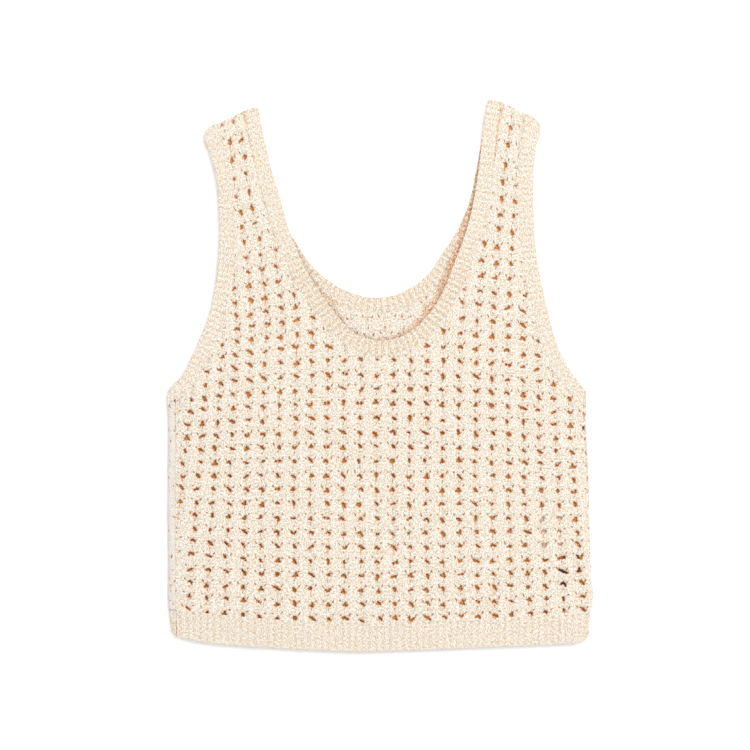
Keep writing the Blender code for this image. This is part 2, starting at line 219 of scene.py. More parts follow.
def mix(low: Array, high: Array, t: Array) -> Array:
    """The value at t between low, at 0, and high, at 1."""
    return low + (high - low) * t


def left_edge(y: Array) -> Array:
    """X of the outermost line of the left side fold."""
    return read_table(SIDE_LEFT, y)


def right_edge(y: Array) -> Array:
    """X of the outermost line of the right side fold, which bulges a little above the hem."""
    bulge = BULGE * np.exp(-((y - BULGE_MIDDLE) / BULGE_REACH) ** 4)
    return read_table(SIDE_RIGHT, y) + bulge


def hem_join(x: Array) -> Array:
    """Y of the hem's seam."""
    return read_table(HEM_JOIN, x)


def hem_edge(x: Array) -> Array:
    """Y of the hem's free edge."""
    return read_table(HEM_EDGE, x)


def loft(x: Array, y: Array) -> Array:
    """How far the front layer's inner side stands off the back layer, past the seam gap.

    Args:
        x, y: the places.

    Returns:
        The height at each place.
    """
    inside = np.minimum(x - left_edge(y) - FOLD_RADIUS, right_edge(y) - FOLD_RADIUS - x)
    rise = smooth_step(inside / LOFT_REACH)
    strap = mix(1.0, STRAP_SHARE, smooth_step((y - STRAP_START) / STRAP_REACH))
    shoulder = smooth_step((SHOULDER - y) / SHOULDER_REACH)
    ripple = 0.0
    for share, across, along, shift in RIPPLES:
        wave = np.sin(x / (across * MM) + shift) * np.sin(y / (along * MM) + 2.0 * shift)
        ripple = ripple + share * wave
    return shoulder * (SIDE_LOFT + rise * strap * (BODY_LOFT + RIPPLE * ripple))


def front_rest(x: Array, y: Array) -> Array:
    """Height of the front layer's inner side."""
    return WALL + SEAM_GAP + loft(x, y)


def lumps(x: Array, y: Array, size: float, seed: int) -> Array:
    """Soft random lumps from -1 to 1.

    Args:
        x, y: the places.
        size: how far apart the lumps are.
        seed: which of the random patterns this is.

    Returns:
        The lump's height at each place.
    """
    side, start = 256, 1000.0
    heights = np.random.default_rng(seed).uniform(-1.0, 1.0, (side + 1, side + 1))
    across, along = x / size + start, y / size + start
    column, row = np.floor(across).astype(int), np.floor(along).astype(int)
    s, t = smooth_step(across - column), smooth_step(along - row)
    column, row = column % side, row % side
    low = mix(heights[row, column], heights[row, column + 1], s)
    return mix(low, mix(heights[row + 1, column], heights[row + 1, column + 1], s), t)


class EdgeLine:
    """A smooth line through spots, read by the distance along it.

    Attributes:
        feel: how far before and after a place its direction is read.
    """

    feel = 2.0 * MM

    def __init__(self, spots: tuple, steps: int = 12) -> None:
        """Draws the line.

        Args:
            spots: (x, y) in mm.
            steps: how many short lengths stand for the curve between two spots.
        """
        at = metres(spots)
        at = np.vstack([2 * at[0] - at[1], at, 2 * at[-1] - at[-2]])
        t = (np.arange(steps) / steps)[:, None]
        lengths = []
        for before, start, end, after in zip(at, at[1:], at[2:], at[3:]):
            lengths.append(0.5 * (
                2.0 * start + (end - before) * t
                + (2.0 * before - 5.0 * start + 4.0 * end - after) * t * t
                + (3.0 * start - before - 3.0 * end + after) * t ** 3))
        self.points = np.vstack(lengths + [at[-2]])
        steps_along = np.linalg.norm(np.diff(self.points, axis=0), axis=1)
        self.distances = np.concatenate([[0.0], np.cumsum(steps_along)])
        self.length = float(self.distances[-1])

    def at(self, distance: Array) -> Array:
        """The (x, y) at each distance."""
        return np.stack([np.interp(distance, self.distances, part) for part in self.points.T], -1)

    def normal(self, distance: Array, side: float) -> Array:
        """The direction square to the line.

        Args:
            distance: the places along it.
            side: 1 for its left and -1 for its right.

        Returns:
            The directions.
        """
        along = self.at(distance + self.feel) - self.at(distance - self.feel)
        along /= np.linalg.norm(along, axis=-1, keepdims=True)
        return np.stack([-along[..., 1], along[..., 0]], -1) * side


@dataclass
class RibEdge:
    """Where a rib band lies: along a free edge, with its panel on one side of it.

    Attributes:
        spots: the free edge.
        side: 1 where the panel lies to the left of the edge's direction, and -1 to the right.
        width: from the free edge to the seam.
        first_end, last_end: where the cut ends meet the panel, or None for a cut straight down.
    """

    spots: tuple
    side: float
    width: float
    first_end: tuple | None
    last_end: tuple | None

    def __post_init__(self) -> None:
        """Draws the line and counts the ribs on it."""
        self.line = EdgeLine(self.spots)
        self.first = self.end_direction(self.line.points[0], self.first_end)
        self.last = self.end_direction(self.line.points[-1], self.last_end)
        self.ribs = round(self.line.length / BAND_RIB_PITCH)

    def end_direction(self, edge: Array, inner: tuple | None) -> Array:
        """How an end is cut.

        Args:
            edge: where the free edge ends.
            inner: the spot in mm where the cut meets the panel, or None for straight down.

        Returns:
            The cut's direction.
        """
        if inner is None:
            return np.array((0.0, -1.0))
        return (metres(inner) - edge) / self.width

    def spot(self, distance: Array, reach: Array) -> Array:
        """Places on the band.

        Args:
            distance: along the free edge.
            reach: from the free edge into the garment.

        Returns:
            The (x, y) of each.
        """
        distance = np.clip(distance, 0.0, self.line.length)
        direction = self.line.normal(distance, self.side)
        from_start = smooth_step(distance / END_BLEND)[..., None]
        from_end = smooth_step((self.line.length - distance) / END_BLEND)[..., None]
        direction = mix(self.first, direction, from_start)
        direction = mix(self.last, direction, from_end)
        return self.line.at(distance) + direction * np.asarray(reach)[..., None]

    def station(self, rib: Array, reach: Array) -> Array:
        """As spot, and between two ribs the line is straight.

        Args:
            rib: how many ribs each place is from the start.
            reach: from the free edge into the garment.

        Returns:
            The (x, y) of each.
        """
        pitch = self.line.length / self.ribs
        low = np.floor(rib)
        here = self.spot(low * pitch, reach)
        return mix(here, self.spot((low + 1.0) * pitch, reach), (rib - low)[..., None])

    def join_line(self) -> Array:
        """The panel's edge, tucked a little under the band."""
        ribs = np.arange(self.ribs + 1.0)
        return self.station(ribs, np.full(len(ribs), self.width - SEAM_TUCK))

    def free_line(self) -> Array:
        """The free edge."""
        ribs = np.arange(self.ribs + 1.0)
        return self.station(ribs, np.zeros(len(ribs)))


class Outline:
    """A closed flat line that a panel is cut to.

    Attributes:
        coarse: the spacing of its chart of distances.
        near: how near to the line a distance is measured and not read from the chart.
        margin: how far the chart goes past the line.
        batch: how many places are measured at once.
    """

    coarse = 5.0 * MM
    near = 9.0 * MM
    margin = 60.0 * MM
    batch = 8000

    def __init__(self, points: Array) -> None:
        """Measures the chart.

        Args:
            points: the line's corners, in turn.
        """
        self.start = points
        self.end = np.roll(points, -1, axis=0)
        low = points.min(0) - self.margin
        count = np.ceil((points.max(0) + self.margin - low) / self.coarse).astype(int) + 2
        x, y = (low[i] + self.coarse * np.arange(count[i]) for i in (0, 1))
        at = np.stack(np.meshgrid(x, y, indexing="ij"), -1)
        self.low = low
        self.chart = self.exact(at.reshape(-1, 2))[0].reshape(count)

    def area(self) -> float:
        """The area that the line encloses."""
        cross = self.start[:, 0] * self.end[:, 1] - self.end[:, 0] * self.start[:, 1]
        return float(abs(cross.sum()) / 2.0)

    def size(self) -> tuple[float, float]:
        """The line's width and length."""
        low, high = self.start.min(0), self.start.max(0)
        return float(high[0] - low[0]), float(high[1] - low[1])

    def measure(self, at: Array) -> tuple[Array, Array]:
        """How far places are from the line: exact near it, and read from the chart far from it.

        Args:
            at: the places, (n, 2).

        Returns:
            The distance of each place, above 0 inside, and for the near ones the nearest place
            on the line.
        """
        spot = (at - self.low) / self.coarse
        spot = np.clip(spot, 0.0, np.array(self.chart.shape) - 1.001)
        i, j = np.floor(spot).astype(int).T
        s, t = (spot - np.floor(spot)).T
        bottom = mix(self.chart[i, j], self.chart[i + 1, j], s)
        distance = mix(bottom, mix(self.chart[i, j + 1], self.chart[i + 1, j + 1], s), t)
        nearest = at.copy()
        close = np.abs(distance) < self.near
        if close.any():
            distance[close], nearest[close] = self.exact(at[close])
        return distance, nearest

    def exact(self, at: Array) -> tuple[Array, Array]:
        """As measure, without the chart.

        Args:
            at: the places, (n, 2).

        Returns:
            The distance of each place, above 0 inside, and the nearest place on the line.
        """
        distance, nearest = [], []
        for part in np.array_split(at, max(1, len(at) // self.batch)):
            run = self.end - self.start
            off = part[:, None] - self.start
            t = np.clip((off * run).sum(-1) / (run * run).sum(-1), 0.0, 1.0)
            foot = self.start + t[..., None] * run
            gap = np.linalg.norm(part[:, None] - foot, axis=-1)
            best = gap.argmin(1)
            rows = np.arange(len(part))
            y0, y1 = self.start[:, 1], self.end[:, 1]
            level = part[:, 1:2]
            crosses = (y0 > level) != (y1 > level)
            rise = np.where(y1 == y0, 1e-12, y1 - y0)
            at_x = self.start[:, 0] + (level - y0) / rise * run[:, 0]
            inside = (crosses & (part[:, 0:1] < at_x)).sum(1) % 2 == 1
            distance.append(np.where(inside, 1.0, -1.0) * gap[rows, best])
            nearest.append(foot[rows, best])
        return np.concatenate(distance), np.concatenate(nearest)


class KnitLayout:
    """Where the knitting's rows and columns lie on the flat cloth."""

    def __init__(self, column_shift: float = 0.0, row_shift: float = 0.0) -> None:
        """Keeps how far this layer's gaps are moved against the front's, in columns and rows."""
        self.column_shift = column_shift
        self.row_shift = row_shift

    @staticmethod
    def body(column: Array, row: Array) -> Array:
        """Places over the body.

        Args:
            column, row: counted in the front layer's columns and rows.

        Returns:
            The (x, y) of each in mm.
        """
        j = column - MIDDLE_COLUMN
        terms = np.stack([
            np.ones_like(row), row, row ** 2, j, row * j, row ** 2 * j, j ** 2, row * j ** 2,
            row ** 2 * j ** 2, j ** 3, row * j ** 3], -1)
        return np.stack([terms @ np.array(BODY_X), terms @ np.array(BODY_Y)], -1)

    @staticmethod
    def strap(column: Array, row: Array, table: tuple, own: int) -> Array:
        """Places on a strap.

        Args:
            column, row: counted in the front layer's columns and rows.
            table: how the strap's own column runs.
            own: the number of that column.

        Returns:
            The (x, y) of each in mm.
        """
        rows = np.array(table)
        x, y, across, along = (np.interp(row, rows[:, 0], rows[:, i]) for i in range(1, 5))
        step = column - own
        return np.stack([x + step * across, y + step * along], -1)

    def at(self, column: Array, row: Array) -> Array:
        """Places on the cloth.

        Args:
            column, row: counted in this layer's own columns and rows.

        Returns:
            The (x, y) of each in metres.
        """
        column = np.asarray(column, float) + self.column_shift
        row = np.asarray(row, float) + self.row_shift
        low_row = np.minimum(row, STRAP_ROWS[1])
        share = smooth_step((row - STRAP_ROWS[0]) / (STRAP_ROWS[1] - STRAP_ROWS[0]))[..., None]
        left = self.strap(column, row, LEFT_STRAP, LEFT_COLUMN)
        right = self.strap(column, row, RIGHT_STRAP, RIGHT_COLUMN)
        side = (column > MIDDLE_COLUMN)[..., None]
        return mix(self.body(column, low_row), np.where(side, right, left), share) * MM


class GapShape(Enum):
    """The shapes that a gap in the net is drawn out to, as rounded strokes.

    Each stroke is x0, y0, x1, y1 and half its width, in mm from the gap's middle.
    """

    TENT = ((-1.6, -1.0, 1.6, -1.2, 0.8), (0.1, -0.9, 0.4, 1.3, 0.9),
            (0.0, -0.6, 0.6, -0.6, 1.1))
    TEAR = ((-0.9, 1.2, 0.3, -0.3, 0.9), (0.3, -0.3, 1.9, -1.7, 0.7),
            (0.2, 0.2, 0.5, -0.5, 1.25))
    MOON = ((-1.9, 0.1, -0.3, 1.0, 0.75), (-0.3, 1.0, 1.3, -0.3, 0.9),
            (1.3, -0.3, 1.7, -1.4, 0.7))
    SLANT = ((-2.2, 1.5, -0.4, 0.2, 0.7), (-0.4, 0.2, 2.3, -1.5, 0.75),
             (0.0, 0.2, 0.6, -0.3, 0.95))
    RISE = ((-1.9, -1.2, 1.5, 1.0, 0.75), (0.6, 0.2, 1.5, 0.5, 0.9),
            (0.4, 0.2, 1.0, 0.3, 0.9))
    SMILE = ((-1.9, 0.9, -0.9, -0.8, 0.6), (-0.9, -0.8, 0.9, -0.9, 0.8),
             (0.9, -0.8, 2.0, 1.0, 0.65))
    TALL = ((-0.3, 1.6, 0.2, -0.2, 1.05), (0.2, -0.2, 0.4, -1.7, 0.9),
            (0.1, -0.3, 0.3, 0.4, 1.3))
    ROUND = ((-0.6, 0.6, 0.3, -0.2, 1.4), (0.1, -0.4, 0.7, 0.2, 1.45),
             (0.0, 0.0, 0.2, 0.2, 1.6))
    PAIR = ((-2.0, 0.4, -1.2, -0.2, 0.8), (1.0, -0.3, 1.7, 0.3, 0.95),
            (1.1, 0.0, 1.6, 0.2, 0.9))


# How often each shape comes, in the order above
GAP_SHARES = (0.22, 0.2, 0.17, 0.12, 0.05, 0.06, 0.1, 0.03, 0.05)


class Gaps:
    """The gaps of one panel: one at each whole column and row that its outline leaves room for.

    Attributes:
        rows, columns, first: how many are counted out, and the number of the first column.
        far: the distance given where there is no gap.
        tall_from, tall_share: above this Y, this share of the gaps is drawn out tall.
        hem_rows: below this Y the gaps beside the hem stay as large as the others.
        strap_from, strap_reach: where a strap starts, and how long the change takes.
        dent_in: how far inside the outline a place has at least a dent.
        open_hem, open_body, open_strap: how far inside it a place has an open gap, in mm.
        top: above this Y, at the shoulders, there are no gaps.
        snap_most: how far a vertex is moved at most in one step on to a rim.

    The other values are ranges: of the room beside the outline, the sizes and what is random.
    """

    rows = 36
    columns = 30
    first = -2
    far = 50.0 * MM
    tall_from, tall_share = 120.0 * MM, 0.65
    hem_rows = -200.0 * MM
    strap_from, strap_reach = 90.0 * MM, 40.0 * MM
    room_body, room_strap, room_least = 6.0, 4.5, 0.55
    sizes, strap_most = (0.78, 1.15), 1.08
    least_left, least_right = 0.5, 0.85
    stretch = 0.3
    turn = 0.16
    wander, fray_start, fray_end = 0.6 * MM, 0.22 * MM, 0.28 * MM
    widths = (0.86, 1.12)
    dent_sizes = (0.35, 0.6)
    dent_in, open_hem, open_body, open_strap = 0.6 * MM, 1.6, 3.0, 2.3
    top = 244.5 * MM
    snap_most = 1.2 * MM

    def __init__(self, layout: KnitLayout, outline: Outline, seed: int, size: float,
                 keep_off: Callable[[Array], Array] | None = None,
                 stretched: tuple[float, float, float] | None = None) -> None:
        """Draws each gap's shape.

        Args:
            layout: where the rows and columns lie.
            outline: what the panel is cut to.
            seed: of the random choice of shapes.
            size: the gaps' size against the shapes in GapShape.
            keep_off: says at which of some places a gap is only a dent.
            stretched: x, y and radius in mm of a patch where the gaps are larger.
        """
        self.layout = layout
        rng = np.random.default_rng(seed)
        row, column = np.meshgrid(np.arange(self.rows), np.arange(self.columns) + self.first,
                                  indexing="ij")
        shape = (self.rows, self.columns)
        self.middle = layout.at(column.astype(float), row.astype(float))
        inside, _ = outline.measure(self.middle.reshape(-1, 2))
        inside = inside.reshape(shape)
        kinds = rng.choice(len(GapShape), shape, p=GAP_SHARES)
        x, y = self.middle[..., 0], self.middle[..., 1]
        tall = (y > self.tall_from) & (rng.uniform(size=shape) < self.tall_share)
        kinds[tall] = list(GapShape).index(GapShape.TALL)
        strokes = np.array([kind.value for kind in GapShape])[kinds] * MM
        by_hem = y < self.hem_rows
        on_strap = smooth_step((y - self.strap_from) / self.strap_reach)
        room = inside / (mix(self.room_body, self.room_strap, on_strap) * MM)
        room = np.where(by_hem, 1.0, np.clip(room, self.room_least, 1.0))
        least = np.where(x > 0.0, self.least_right, self.least_left)
        grown = size * mix(rng.uniform(*self.sizes, shape), rng.uniform(least, self.strap_most),
                           on_strap)
        grown *= room
        if stretched is not None:
            off = np.linalg.norm(self.middle - np.array(stretched[:2]) * MM, axis=-1)
            grown *= 1.0 + self.stretch * (off < stretched[2] * MM)
        self.strokes = strokes * grown[..., None, None]
        turn = rng.normal(0.0, self.turn, shape)
        for a, b in ((0, 1), (2, 3)):
            x, y = self.strokes[..., a].copy(), self.strokes[..., b].copy()
            c, s = np.cos(turn)[..., None], np.sin(turn)[..., None]
            self.strokes[..., a], self.strokes[..., b] = c * x - s * y, s * x + c * y
        wander = rng.normal(0.0, self.wander, (*shape, 1, 2))
        self.strokes[..., 0:2] += wander + rng.normal(0.0, self.fray_start, (*shape, 3, 2))
        self.strokes[..., 2:4] += wander + rng.normal(0.0, self.fray_end, (*shape, 3, 2))
        self.strokes[..., 4] *= rng.uniform(*self.widths, (*shape, 3))
        self.seen = (inside > self.dent_in) & (self.middle[..., 1] < self.top)
        needed = np.where(by_hem, self.open_hem, mix(self.open_body, self.open_strap, on_strap))
        self.open = self.seen & (inside > needed * MM)
        if keep_off is not None:
            self.open &= ~keep_off(self.middle)
        dents = self.seen & ~self.open
        self.strokes[dents] *= rng.uniform(*self.dent_sizes, shape)[dents][:, None, None]

    def distance(self, at: Array, column: Array, row: Array, dents: bool = False) -> Array:
        """How far places are outside their nearest gap: below 0 in it.

        Args:
            at: the places, (n, 2).
            column, row: where they are in the knitting.
            dents: counts the small closed dents as gaps too.

        Returns:
            The distances.
        """
        i = np.clip(np.round(row).astype(int), 0, self.rows - 1)
        j = np.clip(np.round(column).astype(int) - self.first, 0, self.columns - 1)
        local = (at - self.middle[i, j])[:, None]
        strokes = self.strokes[i, j]
        run = strokes[..., 2:4] - strokes[..., 0:2]
        off = local - strokes[..., 0:2]
        t = np.clip((off * run).sum(-1) / np.maximum((run * run).sum(-1), 1e-12), 0.0, 1.0)
        gap = np.linalg.norm(off - t[..., None] * run, axis=-1) - strokes[..., 4]
        there = self.seen if dents else self.open
        return np.where(there[i, j], gap.min(-1), self.far)

    def snap(self, at: Array, column: Array, row: Array) -> Array:
        """Moves places on to the rim of their gap.

        Args:
            at: the places, (n, 2).
            column, row: where they are in the knitting.

        Returns:
            The places on the rim.
        """
        step = 0.02 * MM
        for _ in range(3):
            here = self.distance(at, column, row)
            slope = np.stack([
                self.distance(at + np.array(move), column, row) - here
                for move in ((step, 0.0), (0.0, step))], -1) / step
            slope /= np.maximum(np.linalg.norm(slope, axis=-1, keepdims=True), 0.3)
            at = at - np.clip(here, -self.snap_most, self.snap_most)[:, None] * slope
        return at


def cell_lines(first: int, last: int, zone: float, within: int, between: int) -> Array:
    """Grid lines that lie closer together where the gaps are.

    Args:
        first, last: whole columns or rows.
        zone: half the width that is finely divided, in columns or rows.
        within: how many parts that width has.
        between: how many parts there are from one such width to the next.

    Returns:
        The lines' places in columns or rows.
    """
    near = np.linspace(-zone, zone, within + 1)
    far = np.linspace(zone, 1.0 - zone, between + 1)[1:-1]
    return np.concatenate([k + np.concatenate([near, far]) for k in range(first, last + 1)])


class FrontLayer:
    """The front layer: flat over the body, then round the right side fold and back underneath.

    Attributes:
        under_reach: how far the turned side reaches from the fold.
    """

    under_reach = SEAM_ROLL - FOLD_RADIUS

    @staticmethod
    def turn(y: Array) -> Array:
        """Where the left fold's shade starts; this layer has no left fold."""
        return np.full(len(y), -1.0)

    @staticmethod
    def place(x: Array, y: Array, height: Array) -> Array:
        """The points of the layer.

        Args:
            x, y: places on the cloth, spread flat.
            height: above the outer side.

        Returns:
            The points, (n, 3).
        """
        turn = right_edge(y) - FOLD_RADIUS
        run = x - turn
        radius = FOLD_RADIUS + height
        angle = pi / 2 - run / FOLD_RADIUS
        fold = (run > 0.0) & (run <= HALF_ROUND)
        under = run > HALF_ROUND
        px = np.where(fold, turn + radius * np.cos(angle), x)
        pz = np.where(fold, FOLD_RADIUS + radius * np.sin(angle),
                      front_rest(np.minimum(x, turn), y) + WALL + height)
        px = np.where(under, turn - (run - HALF_ROUND), px)
        return np.stack([px, y, np.where(under, -height, pz)], -1)

    @classmethod
    def seam(cls, y: Array) -> Array:
        """The left seam, where the layer starts."""
        return left_edge(y) + SEAM_ROLL

    @classmethod
    def turned_over(cls, left: Array, right: Array) -> tuple[Array, Array]:
        """The parts of two bands' joins that the turned side lies under, spread flat.

        Args:
            left, right: the left and right joins, each from the shoulder down.

        Returns:
            The same for each side, from the fold on.
        """
        fold = right_edge(right[:, 1]) - FOLD_RADIUS
        part = right[right[:, 0] > fold - cls.under_reach][::-1]
        turn = right_edge(part[:, 1]) - FOLD_RADIUS
        return left[:0], np.stack([2.0 * turn + HALF_ROUND - part[:, 0], part[:, 1]], -1)

    @staticmethod
    def hem_seam(y: Array) -> Array:
        """The left seam at the hem, where it runs straight down."""
        return np.full(len(y), HEM_SEAM)

    @classmethod
    def end(cls, y: Array) -> Array:
        """The right seam underneath, where the layer ends."""
        return right_edge(y) - FOLD_RADIUS + HALF_ROUND + cls.under_reach


class BackLayer:
    """The back layer: flat underneath, then up round the left side fold and over the front.

    Attributes:
        over_reach: how far the turned side reaches from the fold.
        tongue, tongue_start, tongue_rise: how much further it goes, under the front panel near
            the armhole, the Y where that starts, and how long it takes to grow.
        tuck, tuck_run: how far the tongue lies down, and how long that takes.
    """

    over_reach = SEAM_ROLL - SEAM_SLIT - FOLD_RADIUS
    tongue = 2.4 * MM
    tongue_start, tongue_rise = -52.0 * MM, 12.0 * MM
    tuck, tuck_run = 1.3 * MM, 0.9 * MM

    @staticmethod
    def turn(y: Array) -> Array:
        """X of the line on which the left side fold starts underneath."""
        return left_edge(y) + FOLD_RADIUS

    @classmethod
    def over(cls, y: Array) -> Array:
        """How far the turned side reaches: near the armhole it goes on under the front panel."""
        grown = smooth_step((y - cls.tongue_start) / cls.tongue_rise)
        return cls.over_reach + cls.tongue * grown

    @classmethod
    def place(cls, x: Array, y: Array, height: Array) -> Array:
        """The points of the layer.

        Args:
            x, y: places on the cloth, spread flat.
            height: above the outer side, which faces down.

        Returns:
            The points, (n, 3).
        """
        turn = cls.turn(y)
        run = turn - x
        radius = FOLD_RADIUS + height
        angle = run / FOLD_RADIUS
        fold = (run > 0.0) & (run <= HALF_ROUND)
        over = run > HALF_ROUND
        px = np.where(fold, turn - radius * np.sin(angle), x)
        pz = np.where(fold, FOLD_RADIUS - radius * np.cos(angle), -height)
        px = np.where(over, turn + (run - HALF_ROUND), px)
        tuck = cls.tuck * smooth_step((px - left_edge(y) - SEAM_ROLL) / cls.tuck_run)
        return np.stack([px, y, np.where(over, 2.0 * FOLD_RADIUS + height - tuck, pz)], -1)

    @classmethod
    def seam(cls, y: Array) -> Array:
        """The left seam on the front, where the layer starts."""
        return left_edge(y) + FOLD_RADIUS - HALF_ROUND - cls.over(y)

    @classmethod
    def turned_over(cls, left: Array, right: Array) -> tuple[Array, Array]:
        """The parts of two bands' joins that the turned side lies over, spread flat.

        Args:
            left, right: the left and right joins, each from the shoulder down.

        Returns:
            The same for each side, from the fold on.
        """
        part = left[left[:, 0] < cls.turn(left[:, 1]) + cls.over(left[:, 1])][::-1]
        turn = cls.turn(part[:, 1])
        return np.stack([2.0 * turn - HALF_ROUND - part[:, 0], part[:, 1]], -1), right[:0]

    @classmethod
    def hem_seam(cls, y: Array) -> Array:
        """The left seam at the hem, where it runs straight down."""
        return 2.0 * cls.turn(y) - HEM_SEAM + HEM_SLIT - HALF_ROUND

    @staticmethod
    def end(y: Array) -> Array:
        """The right seam underneath, where the layer ends."""
        return right_edge(y) - SEAM_ROLL - SEAM_GAP


def panel_outline(neck: RibEdge, left: RibEdge, right: RibEdge,
                  layer: type[FrontLayer] | type[BackLayer]) -> Outline:
    """A panel's cut, spread flat: hem seam, right side, armhole, neck, armhole and left side.

    Args:
        neck, left, right: the rib bands round it.
        layer: the layer whose side seams it ends at.

    Returns:
        The outline.
    """
    left_join, right_join = left.join_line(), right.join_line()
    left_over, right_over = layer.turned_over(left_join, right_join)

    def top(seam: Callable[[Array], Array], join: Array, over: Array) -> float:
        """Finds where a side seam meets a band.

        Args:
            seam: gives the seam's X.
            join: the band's join.
            over: the part of it that the turned side lies under or over.

        Returns:
            The Y.
        """
        if len(over):
            return float(over[-1, 1])
        near = join[-LAST_RIBS:][np.argsort(join[-LAST_RIBS:, 0])]
        return float(np.interp(seam(near[:1, 1])[0], near[:, 0], near[:, 1]))

    def side(seam: Callable[[Array], Array], high: float) -> Array:
        """The line of a side seam, from the hem up."""
        y = np.linspace(SIDE_START, high, SIDE_SPOTS)
        return np.stack([seam(y), y], -1)

    left_side = side(layer.seam, top(layer.seam, left_join, left_over))
    right_side = side(layer.end, top(layer.end, right_join, right_over))
    x = np.linspace(left_side[0, 0], right_side[0, 0], HEM_SPOTS)
    hem = np.stack([x, hem_join(x) - SEAM_TUCK], -1)
    left_side = left_side[left_side[:, 1] > hem[0, 1] + SIDE_CLEAR]
    right_side = right_side[right_side[:, 1] > hem[-1, 1] + SIDE_CLEAR]
    left_join = left_join[left_join[:, 0] > left_side[-1, 0] + JOIN_CLEAR]
    right_join = right_join[right_join[:, 0] < right_side[-1, 0] - JOIN_CLEAR]
    if len(left_over):
        left_side = left_side[:-1]
    if len(right_over):
        right_side = right_side[:-1]
    points = [hem, right_side, right_over[::-1], right_join[::-1], neck.join_line()[::-1],
              left_join, left_over, left_side[::-1]]
    return Outline(np.vstack(points))


@dataclass
class StitchRelief:
    """How high the knitting stands, against its highest points.

    Attributes:
        wale: how far the columns of gaps lie below the solid ridges between them.
        groove: how deep the line between two wales is.
        course: how much each row of stitches stands out.
        lump: how uneven the yarn is.
        rim: how far the cloth turns in at a gap.
        rim_reach: how far from the gap that starts.
        slit, slit_down, slit_half, slit_width: the depth of the slit under a gap, and its place.
        ridge_start, groove_start, groove_run: where the slopes are, in columns and wales.
        lean: how much a row's stitches rise from the middle of a wale.
        wander, wander_size, lump_size, swell_size: of the uneven rows and of the lumps.
    """

    wale: float = WALE_RELIEF
    groove: float = 0.3 * MM
    course: float = 0.26 * MM
    lump: float = 0.28 * MM
    rim: float = 1.35 * MM
    rim_reach: float = 1.5 * MM
    slit: float = 0.45 * MM
    ridge_start: float = 0.3
    wander: float = 0.1
    wander_size: float = 9.0 * MM
    lean: float = 0.8
    groove_start: float = 0.22
    groove_run: float = 0.28
    lump_size: float = 2.6 * MM
    swell_size: float = 5.5 * MM
    slit_down: float = 0.32
    slit_half: float = 0.22
    slit_width: float = 0.75

    def height(self, at: Array, column: Array, row: Array, to_gap: Array, seed: int) -> Array:
        """The relief at places on the cloth.

        Args:
            at: the places.
            column, row: where they are in the knitting.
            to_gap: their distance from the nearest gap.
            seed: of the lumps.

        Returns:
            The heights, at most 0.
        """
        x, y = at[:, 0], at[:, 1]
        across = column - np.round(column)
        ridge = smooth_step(np.abs(across) / self.ridge_start)
        wander = self.wander * lumps(x, y, self.wander_size, seed + 5)
        wale = WALES_PER_GAP * (column + wander * 0.4)
        in_wale = wale - np.round(wale)
        course = WALES_PER_GAP * (row + wander) + self.lean * np.abs(in_wale)
        height = -self.wale * (1.0 - ridge)
        off = np.abs(in_wale) - self.groove_start
        height -= self.groove * smooth_step(off / self.groove_run)
        height -= self.course * (0.5 - 0.5 * np.cos(2.0 * pi * course))
        height -= self.lump * (0.5 + 0.5 * lumps(x, y, self.lump_size, seed + 1))
        height -= 0.5 * self.lump * (0.5 + 0.5 * lumps(x, y, self.swell_size, seed + 2))
        near = 1.0 - np.clip(to_gap / self.rim_reach, 0.0, 1.0)
        height -= self.rim * near ** RIM_ROUNDNESS
        down = (row - np.round(row)) + self.slit_down
        slit = np.exp(-((across * COLUMN_PITCH) / self.slit_width) ** 2)
        return height - self.slit * slit * smooth_step(1.0 - np.abs(down) / self.slit_half)


